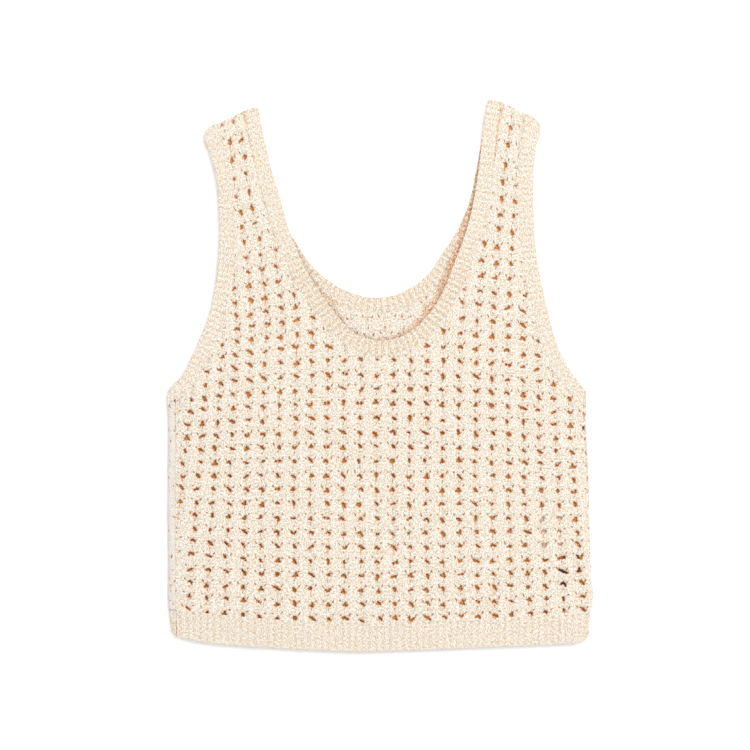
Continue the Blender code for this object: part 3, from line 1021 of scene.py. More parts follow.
class Workshop:
    """Turns finished bmeshes into pieces of the garment."""

    @staticmethod
    def grid(columns: Array, rows: Array) -> tuple[BMesh, Array, Array]:
        """A flat grid.

        Args:
            columns, rows: the grid's lines.

        Returns:
            The bmesh, and the column and row of each of its vertices.
        """
        bm = bmesh.new()
        bmesh.ops.create_grid(bm, x_segments=len(columns) - 1, y_segments=len(rows) - 1, size=1.0)
        flat = np.array([vert.co[:2] for vert in bm.verts])
        count = np.array((len(columns) - 1, len(rows) - 1))
        place = np.round((flat + 1.0) / 2.0 * count).astype(int)
        return bm, columns[place[:, 0]], rows[place[:, 1]]

    @staticmethod
    def close(bm: BMesh) -> None:
        """Turns a closed shell's faces outwards.

        Args:
            bm: the shell.
        """
        bmesh.ops.recalc_face_normals(bm, faces=bm.faces[:])
        if bm.calc_volume(signed=True) < 0.0:
            bmesh.ops.reverse_faces(bm, faces=bm.faces[:])

    @staticmethod
    def finish(name: str, bm: BMesh, points: Array, spread: Array, masks: dict[str, Array],
               material: Material, node: str, slot: str) -> Object:
        """Makes the piece and hides the CAD node that it stands for.

        Args:
            name: the piece's name.
            bm: its mesh, whose vertices are moved to the points.
            points: (n, 3).
            spread: (n, 2), each point's place in the knitting, kept as the UV map.
            masks: values for each point, kept as attributes.
            material: its finish.
            node: the CAD node that it stands for.
            slot: the record's material slot; not used.

        Returns:
            The piece.
        """
        mesh = bpy.data.meshes.new(name)
        bm.to_mesh(mesh)
        bm.free()
        mesh.vertices.foreach_set("co", points.astype(np.float32).ravel())
        corners = np.zeros(len(mesh.loops), np.int32)
        mesh.loops.foreach_get("vertex_index", corners)
        uv = mesh.uv_layers.new(name="knitting")
        uv.data.foreach_set("uv", spread[corners].astype(np.float32).ravel())
        for label, values in masks.items():
            attribute = mesh.attributes.new(label, "FLOAT", "POINT")
            attribute.data.foreach_set("value", values.astype(np.float32))
        mesh.polygons.foreach_set("use_smooth", np.ones(len(mesh.polygons), bool))
        mesh.update()
        mesh.materials.append(material)
        piece = bpy.data.objects.new(name, mesh)
        bpy.context.scene.collection.objects.link(piece)
        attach(piece, "root")
        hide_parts(node)
        sides = np.zeros(len(mesh.polygons), np.int32)
        mesh.polygons.foreach_get("loop_total", sides)
        log.info("%s: %d triangles", name, int((sides - 2).sum()))
        return piece


@dataclass
class OpenworkPanel:
    """One openwork panel.

    Attributes:
        name: the piece's name.
        node: the CAD node that it stands for.
        layer: the layer that it lies on.
        outline: what it is cut to, spread flat.
        layout: where its knitting lies.
        gaps: its open gaps.
        closed: a wall with two sides, and not a single skin.
        columns, rows: the grid's lines.
        seed: of its lumps.
        covered: says how much painted shade from another layer each place takes, from 0 to 1.
        relief: how its knitting stands out.
        seam_depth: how deep its edge lies at a seam.
        dent_share: how strong a closed dent's painted shade is against an open gap's.
        edge_catch: how far from the outline a vertex is still moved on to it.

    The other values are the reach and the strength of its edges, thinning and painted shades.
    """

    seam_run = 1.4 * MM
    thin_from, thin_rise, thin, thin_run = 236.0 * MM, 16.0 * MM, 1.1 * MM, 3.0 * MM
    dark_run = 1.15 * MM
    back_share, back_most = 0.6, 1.0 * MM
    inner_most = 1.25 * MM
    back_dark = 0.8
    dull_run = 3.0 * MM
    edge_catch = 2.4 * MM

    name: str
    node: str
    layer: type[FrontLayer] | type[BackLayer]
    outline: Outline
    layout: KnitLayout
    gaps: Gaps
    closed: bool
    columns: Array
    rows: Array
    seed: int
    covered: Callable[[Array], Array] | None = None
    relief: StitchRelief = field(default_factory=StitchRelief)
    seam_depth: float = 0.45 * MM
    dent_share: float = 0.55

    def cut(self) -> tuple[BMesh, Array, Array, Array, Array]:
        """Cuts the grid to the outline and opens its gaps.

        Returns:
            The bmesh, and for each vertex its place on the cloth, its column, its row, and
            whether it is on the inner side.
        """
        bm, column, row = Workshop.grid(self.columns, self.rows)
        at = self.layout.at(column, row)
        bm.verts.ensure_lookup_table()
        mark = bm.verts.layers.int.new("mark")
        for number, vert in enumerate(bm.verts):
            vert[mark] = number
        corners = np.array([[vert[mark] for vert in face.verts] for face in bm.faces])
        middle = at[corners].mean(1)
        inside, _ = self.outline.measure(middle)
        gap = self.gaps.distance(middle, column[corners].mean(1), row[corners].mean(1))
        keep = (inside > 0.0) & (gap > 0.0)
        doomed = [face for face, kept in zip(bm.faces, keep) if not kept]
        bmesh.ops.delete(bm, geom=doomed, context="FACES")
        edge = np.array([vert.is_boundary for vert in bm.verts])
        numbers = np.array([vert[mark] for vert in bm.verts])
        at = self.snap(at, column, row, numbers[edge])
        inner = np.zeros(len(numbers), bool)
        if self.closed:
            skin = bmesh.ops.extrude_face_region(bm, geom=bm.faces[:])["geom"]
            raised = {item for item in skin if isinstance(item, BMVert)}
            numbers = np.array([vert[mark] for vert in bm.verts])
            inner = np.array([vert in raised for vert in bm.verts])
        return bm, at[numbers], column[numbers], row[numbers], inner

    def snap(self, at: Array, column: Array, row: Array, edge: Array) -> Array:
        """Moves the places on the edge on to the outline or the rim of a gap.

        Args:
            at: all the places, (n, 2).
            column, row: where they are in the knitting.
            edge: the numbers of those on the edge.

        Returns:
            All the places.
        """
        at = at.copy()
        inside, nearest = self.outline.measure(at[edge])
        gap = self.gaps.distance(at[edge], column[edge], row[edge])
        on_rim = np.abs(gap) < np.abs(inside)
        rim = edge[on_rim]
        at[rim] = self.gaps.snap(at[rim], column[rim], row[rim])
        close = ~on_rim & (np.abs(inside) < self.edge_catch)
        at[edge[close]] = nearest[close]
        return at

    def build(self, material: Material) -> Object:
        """Builds the panel.

        Args:
            material: its finish.

        Returns:
            The piece.
        """
        bm, at, column, row, inner = self.cut()
        to_gap = self.gaps.distance(at, column, row, dents=True)
        inside, _ = self.outline.measure(at)
        height = self.relief.height(at, column, row, to_gap, self.seed)
        height = mix(-self.seam_depth, height, smooth_step(inside / self.seam_run))
        shoulder = smooth_step((at[:, 1] - self.thin_from) / self.thin_rise)
        height -= self.thin * shoulder * (1.0 - smooth_step(inside / self.thin_run))
        # Painted shade at the rims of the open gaps and, weaker, of the dents; fainter on the
        # back's outer side.
        to_open = self.gaps.distance(at, column, row)
        recess = np.maximum(1.0 - smooth_step(to_open / self.dark_run),
                            self.dent_share * (1.0 - smooth_step(to_gap / self.dark_run)))
        cover = np.zeros(len(at)) if self.covered is None else self.covered(at)
        if self.closed:
            inner_height = -WALL - np.maximum(height, -self.inner_most)
            outer_height = np.maximum(height * self.back_share, -self.back_most)
            height = np.where(inner, inner_height, outer_height)
            recess = np.where(inner, recess, self.back_dark * recess)
            cover = np.where(inner, cover, 0.0)
        points = self.layer.place(at[:, 0], at[:, 1], height)
        # Painted shade where the back layer rounds over the left fold.
        turned = smooth_step((self.layer.turn(at[:, 1]) - at[:, 0]) / self.dull_run)
        masks = {"recess": recess, "cover": cover, "dull": turned}
        if self.closed:
            for vert, point in zip(bm.verts, points):
                vert.co = point
            Workshop.close(bm)
        return Workshop.finish(self.name, bm, points, np.stack([column, row], -1), masks,
                               material, self.node, "openwork_knit")


@dataclass
class RibSection:
    """The cross-section of a rib band, from its free edge over the top to the seam and back.

    Attributes:
        width: from the free edge to the seam.
        top: how many steps the top is divided into.
        bottom: how many steps the underside is divided into.
        free, seam: the rounded free edge and seam, as rows of the reach from it and the height,
            both in mm, and of how much of the relief above and below a point takes.
        flat_in, bottom_in: how far from the edges the flat top and underside start.
    """

    free = ((0.9, 0.0, 0.0, 0.6), (0.25, 0.35, 0.0, 0.3), (0.0, 1.25, 0.0, 0.0),
            (0.2, 2.0, 0.3, 0.0), (0.75, 2.45, 0.7, 0.0))
    seam = ((-0.5, 2.5, 0.7, 0.0), (0.1, 2.3, 0.4, 0.0), (0.25, 1.3, 0.0, 0.0),
            (-0.3, 0.3, 0.0, 0.4))
    flat_in, bottom_in = 1.5 * MM, 1.8 * MM

    width: float
    top: int = 12
    bottom: int = 4

    def ring(self) -> Array:
        """Draws the section.

        Returns:
            Its points, in turn: reach, height, and how much of the relief above and below they
            take.
        """
        across = np.linspace(self.flat_in, self.width - self.flat_in, self.top)
        back = np.linspace(self.width - self.flat_in, self.bottom_in, self.bottom)
        rows = [(a * MM, b * MM, c, d) for a, b, c, d in self.free]
        rows += [(reach, WALL, 1.0, 0.0) for reach in across]
        rows += [(self.width + a * MM, b * MM, c, d) for a, b, c, d in self.seam]
        rows += [(reach, 0.0, 0.0, 1.0) for reach in back]
        return np.array(rows)


@dataclass
class RibShell:
    """A closed ribbed shell: what all the rib bands and hems have in common.

    Attributes:
        name: the piece's name.
        node: the CAD node that it stands for.
        section: its cross-section.
        relief: how deep the grooves between the ribs are above.
        under_relief: the same underneath.
        steps: how many parts each rib is divided into.
        seed: of its lumps.
        course: the length of a stitch along a rib.
        covered: says how much painted shade from another layer each place takes, from 0 to 1.
        edge_shade: how strong the painted shade along the free edge is.
        slit_end: the first end shows the painted shade of the side seam's slit.
        strained: towards the shoulders the painted groove shade fades and a painted shade line
            shows along the seam.
        tint: how dark the painted shade in the grooves is.

    The other values are sizes and shares: how the ribs wander, their ridges, stitches and lumps,
    the ragged free edge and its painted shade, how the painted groove shade of strained ribs fades
    above a Y and how dark their painted seam line is, and the painted slit, which shows below a Y.
    """

    wander, wander_size = 0.08, 7.0 * MM
    roundness = 1.4
    leg_lean = 0.55
    lump_size = 2.2 * MM
    stitch_up, lump_up, lump_under = 0.22 * MM, 0.26 * MM, 0.15 * MM
    rag_run, rag_rib, rag_lump = 1.2 * MM, 0.35 * MM, 0.3 * MM
    dull_run = 3.2 * MM
    rim_tint, rim_run = 0.3, 3.0 * MM
    tint_most = 2.0
    fade, fade_from, fade_rise = 0.75, 80.0 * MM, 60.0 * MM
    pull, pull_in, pull_width = 0.8, 0.5 * MM, 1.1 * MM
    pull_from, pull_rise = 185.0 * MM, 30.0 * MM
    top_from, shade_from = 2.0 * MM, 1.2 * MM
    slit_top, slit_fall, slit_run = -230.0 * MM, 4.0 * MM, 0.14

    name: str
    node: str
    section: RibSection
    relief: float = RIB_RELIEF
    under_relief: float = 0.35 * MM
    steps: int = 8
    seed: int = 3
    course: float = 4.4 * MM
    covered: Callable[[Array], Array] | None = None
    edge_shade: float = 0.0
    slit_end: bool = False
    strained: bool = False
    tint: float = 1.0

    def profile(self, rib: Array, reach: Array, above: Array, below: Array,
                at: Array) -> tuple[Array, Array, Array, Array]:
        """The relief of a point of the shell.

        Args:
            rib: how many ribs it is from the start.
            reach: how far it is from the free edge.
            above, below: how much it takes of the relief on each side.
            at: its place on the cloth.

        Returns:
            How far it is moved up, how far it is moved towards the panel, how much painted shade
            it takes in its groove and near the free edge, and how much painted fold shade it
            takes.
        """
        wander = self.wander * lumps(at[:, 0], at[:, 1], self.wander_size, self.seed)
        phase = rib + wander
        ridge = (0.5 - 0.5 * np.cos(2.0 * pi * (phase + 0.5))) ** self.roundness
        groove = 1.0 - ridge
        leg = np.abs(phase - np.round(phase)) * 2.0
        course = 0.5 - 0.5 * np.cos(2.0 * pi * (reach / self.course + self.leg_lean * leg))
        lump = 0.5 + 0.5 * lumps(at[:, 0], at[:, 1], self.lump_size, self.seed + 1)
        up = -above * (self.relief * groove + self.stitch_up * course + self.lump_up * lump)
        up = up + below * (self.under_relief * groove + self.lump_under * lump)
        edge = np.clip(1.0 - reach / self.rag_run, 0.0, 1.0)
        inward = edge * (self.rag_rib * groove + self.rag_lump * lump)
        # Painted shade along the free edge, where the hem rounds away.
        dull = self.edge_shade * np.clip(1.0 - reach / self.dull_run, 0.0, 1.0)
        # Painted shade near the free edge and in the grooves, fading on strained bands.
        rim = self.rim_tint * np.clip(1.0 - reach / self.rim_run, 0.0, 1.0)
        tint = np.full(len(rib), self.tint)
        if self.strained:
            tint *= 1.0 - self.fade * smooth_step((at[:, 1] - self.fade_from) / self.fade_rise)
        dark = np.clip(tint * groove * (above + below) + rim, 0.0, self.tint_most)
        return up, inward, dark, dull

    def shell(self, ribs: Array, place: Callable[[Array, Array], Array],
              lift: Callable[[Array, Array, Array], Array], material: Material) -> Object:
        """Builds the shell.

        Args:
            ribs: the stations along it, counted in ribs.
            place: gives the place on the cloth for ribs and reaches.
            lift: gives the points for places on the cloth and heights above the inner side.
            material: its finish.

        Returns:
            The piece.
        """
        ring = self.section.ring()
        ring = np.vstack([ring, ring[:1]])
        numbers = np.arange(float(len(ring)))
        bm, rib, number = Workshop.grid(ribs, numbers)
        number = number.astype(int)
        reach, height, above, below = ring[number].T
        flat = place(rib, reach)
        up, inward, groove, dull = self.profile(rib, reach, above, below, flat)
        flat = place(rib, reach + inward)
        points = lift(flat[:, 0], flat[:, 1], height + up)
        spread = np.stack([rib, reach / self.course], -1)
        kept = bm.verts.layers.int.new("mark")
        for index, (vert, point) in enumerate(zip(bm.verts, points)):
            vert.co = point
            vert[kept] = index
        bmesh.ops.remove_doubles(bm, verts=bm.verts[:], dist=0.005 * MM)
        rims = [edge for edge in bm.edges if edge.is_boundary]
        bmesh.ops.holes_fill(bm, edges=rims, sides=0)
        Workshop.close(bm)
        order = np.array([vert[kept] for vert in bm.verts])
        final = np.array([vert.co[:] for vert in bm.verts])
        shade = np.zeros(len(order))
        # Painted shade from the front layer, on the top only.
        if self.covered is not None:
            shade = self.covered(final[:, :2]) * (final[:, 2] > self.shade_from)
        # On a strained band, a painted shade line along the seam instead.
        if self.strained:
            off = (reach[order] - self.section.width + self.pull_in) / self.pull_width
            pulled = smooth_step((final[:, 1] - self.pull_from) / self.pull_rise)
            shade = self.pull * np.exp(-off * off) * pulled * (height[order] > self.top_from)
        # Painted shade in the side seam's slit.
        slit = np.zeros(len(order))
        if self.slit_end:
            low = smooth_step((self.slit_top - final[:, 1]) / self.slit_fall)
            slit = low * (1.0 - smooth_step(rib[order] / self.slit_run))
        masks = {"recess": slit, "cover": shade, "groove": groove[order], "dull": dull[order]}
        return Workshop.finish(self.name, bm, final, spread[order], masks, material, self.node,
                               "rib_knit")


@dataclass
class RibBand(RibShell):
    """A neck or armhole band.

    Attributes:
        edge: where it lies.
        rest: gives the height that its inner side lies at.
        bumps: places where its free edge stands out: distance along, half width and height, in mm.
        bulge: how far its first and last ends are rounded out, in mm.
        round_reach: how far from an end the rounding starts.
        corner, corner_reach: how far a rounded end's corner is drawn in, in mm, and how far from
            the free edge that starts.
    """

    round_reach = 9.0 * MM
    corner, corner_reach = 1.5, 3.0 * MM

    edge: RibEdge | None = None
    rest: Callable[[Array, Array], Array] = front_rest
    bumps: tuple = ()
    bulge: tuple[float, float] = (0.0, 0.0)

    def build(self, material: Material) -> Object:
        """Builds the band.

        Args:
            material: its finish.

        Returns:
            The piece.
        """
        stations = np.linspace(0.0, self.edge.ribs, self.edge.ribs * self.steps + 1)
        pitch = self.edge.line.length / self.edge.ribs

        def place(rib: Array, reach: Array) -> Array:
            """Places on the band, with its bumps and its rounded ends.

            Args:
                rib: how many ribs each place is from the start.
                reach: how far it is from the free edge.

            Returns:
                The (x, y) of each.
            """
            out = np.zeros(len(rib))
            for distance, half, height in self.bumps:
                off = (rib * pitch - distance * MM) / (half * MM)
                out = out + height * MM * np.exp(-off * off)
            at = self.edge.station(rib, reach - out * (1.0 - reach / self.edge.width))
            bow = np.clip(1.0 - (2.0 * reach / self.edge.width - 1.0) ** 2, 0.0, 1.0)
            line = self.edge.line
            for size, off, first, last in ((self.bulge[0], rib * pitch, 1, 0),
                                           (self.bulge[1], line.length - rib * pitch, -2, -1)):
                away = line.points[last] - line.points[first]
                away /= np.linalg.norm(away)
                near = np.clip(1.0 - off / self.round_reach, 0.0, 1.0) ** 2
                corner = np.clip(1.0 - reach / self.corner_reach, 0.0, 1.0) ** 2 * (size > 0.0)
                shift = (size * bow - self.corner * corner) * MM * near
                at = at + shift[:, None] * away
            return at

        def lift(x: Array, y: Array, height: Array) -> Array:
            """The points at heights above the inner side."""
            return np.stack([x, y, self.rest(x, y) + height], -1)

        return self.shell(stations, place, lift, material)


@dataclass
class HemBand(RibShell):
    """A hem band, which goes round the side fold with its layer.

    Attributes:
        layer: the layer that it ends.
    """

    layer: type[FrontLayer] | type[BackLayer] = FrontLayer

    def build(self, material: Material) -> Object:
        """Builds the hem.

        Args:
            material: its finish.

        Returns:
            The piece.
        """
        middle = np.array([HEM_MIDDLE])
        start, end = float(self.layer.hem_seam(middle)[0]), float(self.layer.end(middle)[0])
        ribs = round((end - start) / HEM_RIB_PITCH)
        stations = np.linspace(0.0, ribs, ribs * self.steps + 1)
        full = self.section.width

        def across(x: Array) -> Array:
            """The X on the garment of a place on the spread cloth."""
            return self.layer.place(x, np.full(len(x), HEM_MIDDLE), np.zeros(len(x)))[:, 0]

        def place(rib: Array, reach: Array) -> Array:
            """Places on the hem, spread flat.

            Args:
                rib: how many ribs each place is from the start.
                reach: how far it is from the free edge.

            Returns:
                The (x, y) of each.
            """
            seen = across(mix(start, end, rib / ribs))
            y = mix(hem_edge(seen), hem_join(seen), reach / full)
            return np.stack([mix(self.layer.hem_seam(y), self.layer.end(y), rib / ribs), y], -1)

        def lift(x: Array, y: Array, height: Array) -> Array:
            """The points at heights above the inner side."""
            return self.layer.place(x, y, height - WALL)

        return self.shell(stations, place, lift, material)


@dataclass
class SewnLabel:
    """A blank woven label that lies between the layers.

    Attributes:
        name: the piece's name.
        node: the CAD node that it stands for.
        slot: the record's material slot.
        middle: in mm.
        size: width and height in mm.
        turn: in degrees.
        slant: how far the right end is pulled up against the left one, for each mm across.
        thickness: of the tape.
        steps: how many parts its width and height are divided into.
        ripple, ripple_size, ripple_seed: how high its ripples are, how long, and which.
    """

    steps = (24, 30)
    ripple, ripple_size, ripple_seed = 0.12 * MM, 14.0 * MM, 31

    name: str
    node: str
    slot: str
    middle: tuple[float, float]
    size: tuple[float, float]
    turn: float
    slant: float = 0.0
    thickness: float = 0.4 * MM

    def build(self, material: Material) -> Object:
        """Builds the label: a thin tape with low ripples.

        Args:
            material: its finish.

        Returns:
            The piece.
        """
        lines = [np.linspace(-0.5, 0.5, count + 1) for count in self.steps]
        bm, column, row = Workshop.grid(*lines)
        for vert, u, v in zip(bm.verts, column, row):
            vert.co = (u, v, 0.0)
        skin = bmesh.ops.extrude_face_region(bm, geom=bm.faces[:])["geom"]
        raised = [item for item in skin if isinstance(item, BMVert)]
        bmesh.ops.translate(bm, verts=raised, vec=(0.0, 0.0, 1.0))
        flat = np.array([vert.co[:] for vert in bm.verts])
        u, v = flat[:, 0] * self.size[0] * MM, flat[:, 1] * self.size[1] * MM
        c, s = cos(radians(self.turn)), sin(radians(self.turn))
        x = self.middle[0] * MM + u * c - v * s
        y = self.middle[1] * MM + u * (s + self.slant) + v * c
        wave = self.ripple * (1.0 + lumps(x, y, self.ripple_size, self.ripple_seed))
        z = WALL + SEAM_GAP + wave + flat[:, 2] * self.thickness
        points = np.stack([x, y, z], -1)
        for vert, point in zip(bm.verts, points):
            vert.co = point
        Workshop.close(bm)
        spread = np.stack([u, v], -1) / MM
        return Workshop.finish(self.name, bm, points, spread, {"recess": 0 * x, "cover": 0 * x},
                               material, self.node, self.slot)


class Wiring:
    """Adds nodes to one node tree and joins them."""

    def __init__(self, tree: NodeTree) -> None:
        """Keeps the tree."""
        self.tree = tree

    def node(self, kind: str, **inputs: object) -> Node:
        """Adds a node.

        Args:
            kind: the node's type.
            inputs: values or sockets, by the input's name with underscores.

        Returns:
            The node.
        """
        made = self.tree.nodes.new(kind)
        for name, value in inputs.items():
            self.feed(made.inputs[name.replace("_", " ")], value)
        return made

    def feed(self, socket: NodeSocket, value: object) -> None:
        """Gives an input a value or joins it to an output.

        Args:
            socket: the input.
            value: a value, or the output's socket.
        """
        if isinstance(value, NodeSocket):
            self.tree.links.new(value, socket)
        else:
            socket.default_value = value

    def math(self, operation: str, *values: object, clamp: bool = False) -> NodeSocket:
        """Adds a Math node.

        Args:
            operation: what it works out.
            values: numbers or sockets.
            clamp: keep the result between 0 and 1.

        Returns:
            Its output.
        """
        made = self.tree.nodes.new("ShaderNodeMath")
        made.operation = operation
        made.use_clamp = clamp
        for socket, value in zip(made.inputs, values):
            self.feed(socket, value)
        return made.outputs[0]

    def times(self, left: object, right: object) -> NodeSocket:
        """The product of two numbers."""
        return self.math("MULTIPLY", left, right)

    def minus(self, left: object, right: object) -> NodeSocket:
        """The difference of two numbers."""
        return self.math("SUBTRACT", left, right)

    def off_whole(self, value: object) -> NodeSocket:
        """How far a number is from the nearest whole one, above 0 past it."""
        return self.minus(value, self.math("ROUND", value))

    def ramp(self, value: object, low: float, high: float) -> NodeSocket:
        """Adds a smooth rise from 0 to 1.

        Args:
            value: a number or a socket.
            low, high: the values where the rise starts and ends.

        Returns:
            Its output.
        """
        made = self.tree.nodes.new("ShaderNodeMapRange")
        made.interpolation_type = "SMOOTHSTEP"
        for name, given in (("Value", value), ("From Min", low), ("From Max", high)):
            self.feed(made.inputs[name], given)
        return made.outputs[0]

    def blend(self, share: object, low: object, high: object) -> NodeSocket:
        """Mixes two colours.

        Args:
            share: how much of the second colour shows.
            low, high: the colours.

        Returns:
            The colour's output.
        """
        made = self.tree.nodes.new("ShaderNodeMix")
        made.data_type = "RGBA"
        self.feed(made.inputs["Factor"], share)
        for name, given in (("A", low), ("B", high)):
            socket = next(s for s in made.inputs if s.name == name and s.type == "RGBA")
            self.feed(socket, given)
        return next(s for s in made.outputs if s.type == "RGBA")

    def product(self, left: object, right: object) -> NodeSocket:
        """Multiplies two colours.

        Args:
            left, right: the colours.

        Returns:
            The colour's output.
        """
        made = self.tree.nodes.new("ShaderNodeVectorMath")
        made.operation = "MULTIPLY"
        self.feed(made.inputs[0], left)
        self.feed(made.inputs[1], right)
        return made.outputs[0]

    def noise(self, vector: object, scale: float, detail: float, rough: float,
              bend: float) -> NodeSocket:
        """Adds a noise texture.

        Args:
            vector: the place.
            scale, detail, rough, bend: its scale, detail, roughness and distortion.

        Returns:
            Its value's output.
        """
        made = self.node("ShaderNodeTexNoise", Vector=vector, Scale=scale, Detail=detail,
                         Roughness=rough, Distortion=bend)
        return made.outputs["Fac"]


def new_group(name: str, inputs: tuple, outputs: tuple) -> tuple:
    """A shader node group.

    Args:
        name: its name.
        inputs, outputs: its sockets' names. Place is a vector, and the others are numbers.

    Returns:
        The tree, its wiring, and its input and output nodes.
    """
    tree = bpy.data.node_groups.new(name, "ShaderNodeTree")
    for labels, way in ((inputs, "INPUT"), (outputs, "OUTPUT")):
        for label in labels:
            kind = "NodeSocketVector" if label == "Place" else "NodeSocketFloat"
            tree.interface.new_socket(name=label, in_out=way, socket_type=kind)
    wiring = Wiring(tree)
    return tree, wiring, tree.nodes.new("NodeGroupInput"), tree.nodes.new("NodeGroupOutput")


class ShaderGroups:
    """The effects that more than one finish uses, as node groups.

    The values are noise scales, shares and the limits between which an effect grows. The eye and
    the slit, which take painted shade, each have a middle, a width, a height and a lean, in steps
    of the knitting.
    """

    strand_scale, strand_bend, strand_share = 1020.0, 0.3, 0.62
    curl_scale, curl_bend, curl_share = 1000.0, 0.5, 0.38
    stretch = 0.55
    hollow_at, fleck_at = (0.51, 0.38), (0.49, 0.6)
    tint_away, tint_scale, tint_at = (0.31, 0.17, 0.05), 700.0, (0.3, 0.7)
    leg_rise = 1.5
    groove_at = (0.42, 0.02)
    eye, slit = (0.28, 0.26, 0.056, 0.1, 0.5), (0.0, -0.36, 0.042, 0.1, 0.0)
    slit_share = 0.75
    spot_at = (1.2, 0.55)
    loose_scale, eye_open, slit_open = 95.0, (0.38, 0.46), (0.6, 0.5)
    sway_scale, sway = 170.0, 0.34

    @classmethod
    def yarn(cls) -> NodeTree:
        """Makes curled yarn: strands that lean with their stitches, with a painted highlight on
        top and painted shade between.

        Returns:
            The group.
        """
        tree, w, given, out = new_group("curled_yarn", ("Place", "Wale", "Lean"),
                                        ("Height", "Hollow", "Fleck", "Tint"))
        parts = w.node("ShaderNodeSeparateXYZ", Vector=given.outputs["Place"]).outputs
        wale = given.outputs["Wale"]
        side = w.math("SIGN", w.off_whole(wale))
        lean = w.times(side, given.outputs["Lean"])
        skewed = w.minus(parts["X"], w.times(lean, parts["Y"]))
        along = w.times(parts["Y"], cls.stretch)
        strand = w.node("ShaderNodeCombineXYZ", X=skewed, Y=along, Z=w.times(lean, 0.5)).outputs[0]
        strands = w.noise(strand, cls.strand_scale, 0.0, 0.5, cls.strand_bend)
        curls = w.noise(given.outputs["Place"], cls.curl_scale, 1.0, 0.6, cls.curl_bend)
        both = w.math("ADD", w.times(strands, cls.strand_share), w.times(curls, cls.curl_share))
        w.feed(out.inputs["Height"], both)
        w.feed(out.inputs["Hollow"], w.ramp(both, *cls.hollow_at))
        w.feed(out.inputs["Fleck"], w.ramp(both, *cls.fleck_at))
        apart = w.node("ShaderNodeVectorMath", Vector=given.outputs["Place"])
        apart.inputs[1].default_value = cls.tint_away
        tint = w.noise(apart.outputs["Vector"], cls.tint_scale, 1.0, 0.6, 0.5)
        w.feed(out.inputs["Tint"], w.ramp(tint, *cls.tint_at))
        return tree

    @classmethod
    def stitches(cls) -> NodeTree:
        """Makes columns of V-shaped stitches, whose places count wales and courses; the groove
        between their legs takes painted shade.

        Returns:
            The group.
        """
        tree, w, given, out = new_group("knit_stitches", ("Wale", "Course"), ("Height", "Groove"))
        wale, course = given.outputs["Wale"], given.outputs["Course"]
        off = w.math("ABSOLUTE", w.off_whole(wale))
        leg = w.math("ABSOLUTE", w.minus(w.times(off, 4.0), 1.0))
        round_leg = w.math("SQRT", w.math("SUBTRACT", 1.05, w.times(leg, leg), clamp=True))
        phase = w.math("ADD", course, w.times(off, cls.leg_rise))
        wave = w.math("COSINE", w.times(phase, 2.0 * pi))
        row = w.math("MULTIPLY_ADD", wave, 0.5, 0.5)
        w.feed(out.inputs["Height"], w.times(round_leg, w.math("MULTIPLY_ADD", row, 0.6, 0.4)))
        w.feed(out.inputs["Groove"], w.ramp(w.times(round_leg, row), *cls.groove_at))
        return tree

    @classmethod
    def pinholes(cls) -> NodeTree:
        """Makes the painted shade of the small eyes beside each gap and of the slit under it, some
        of them closed.

        Returns:
            The group.
        """
        tree, w, given, out = new_group("gap_eyes", ("Column", "Row", "Place"), ("Mask",))
        column, row = given.outputs["Column"], given.outputs["Row"]
        loose = w.noise(given.outputs["Place"], cls.loose_scale, 1.0, 0.5, 0.0)
        moved = w.noise(given.outputs["Place"], cls.sway_scale, 0.0, 0.5, 0.0)
        sway = w.math("MULTIPLY_ADD", moved, cls.sway, -0.5 * cls.sway)
        across = w.math("ABSOLUTE", w.off_whole(column))
        up = w.math("ADD", w.off_whole(row), sway)

        def spot(x: float, y: float, wide: float, high: float, lean: float) -> NodeSocket:
            """Makes one soft oval.

            Args:
                x, y: its middle.
                wide, high: its half width and half height.
                lean: how far it leans.

            Returns:
                How far inside it each place is.
            """
            off = w.minus(up, y)
            beside = w.minus(w.minus(across, x), w.times(off, lean))
            a, b = w.math("DIVIDE", beside, wide), w.math("DIVIDE", off, high)
            far = w.math("ADD", w.times(a, a), w.times(b, b))
            return w.ramp(w.math("SQRT", far), *cls.spot_at)

        eyes = w.times(spot(*cls.eye), w.ramp(loose, *cls.eye_open))
        slit = w.times(spot(*cls.slit), w.ramp(loose, *cls.slit_open))
        slit = w.times(slit, cls.slit_share)
        w.feed(out.inputs["Mask"], w.math("MAXIMUM", eyes, slit))
        return tree


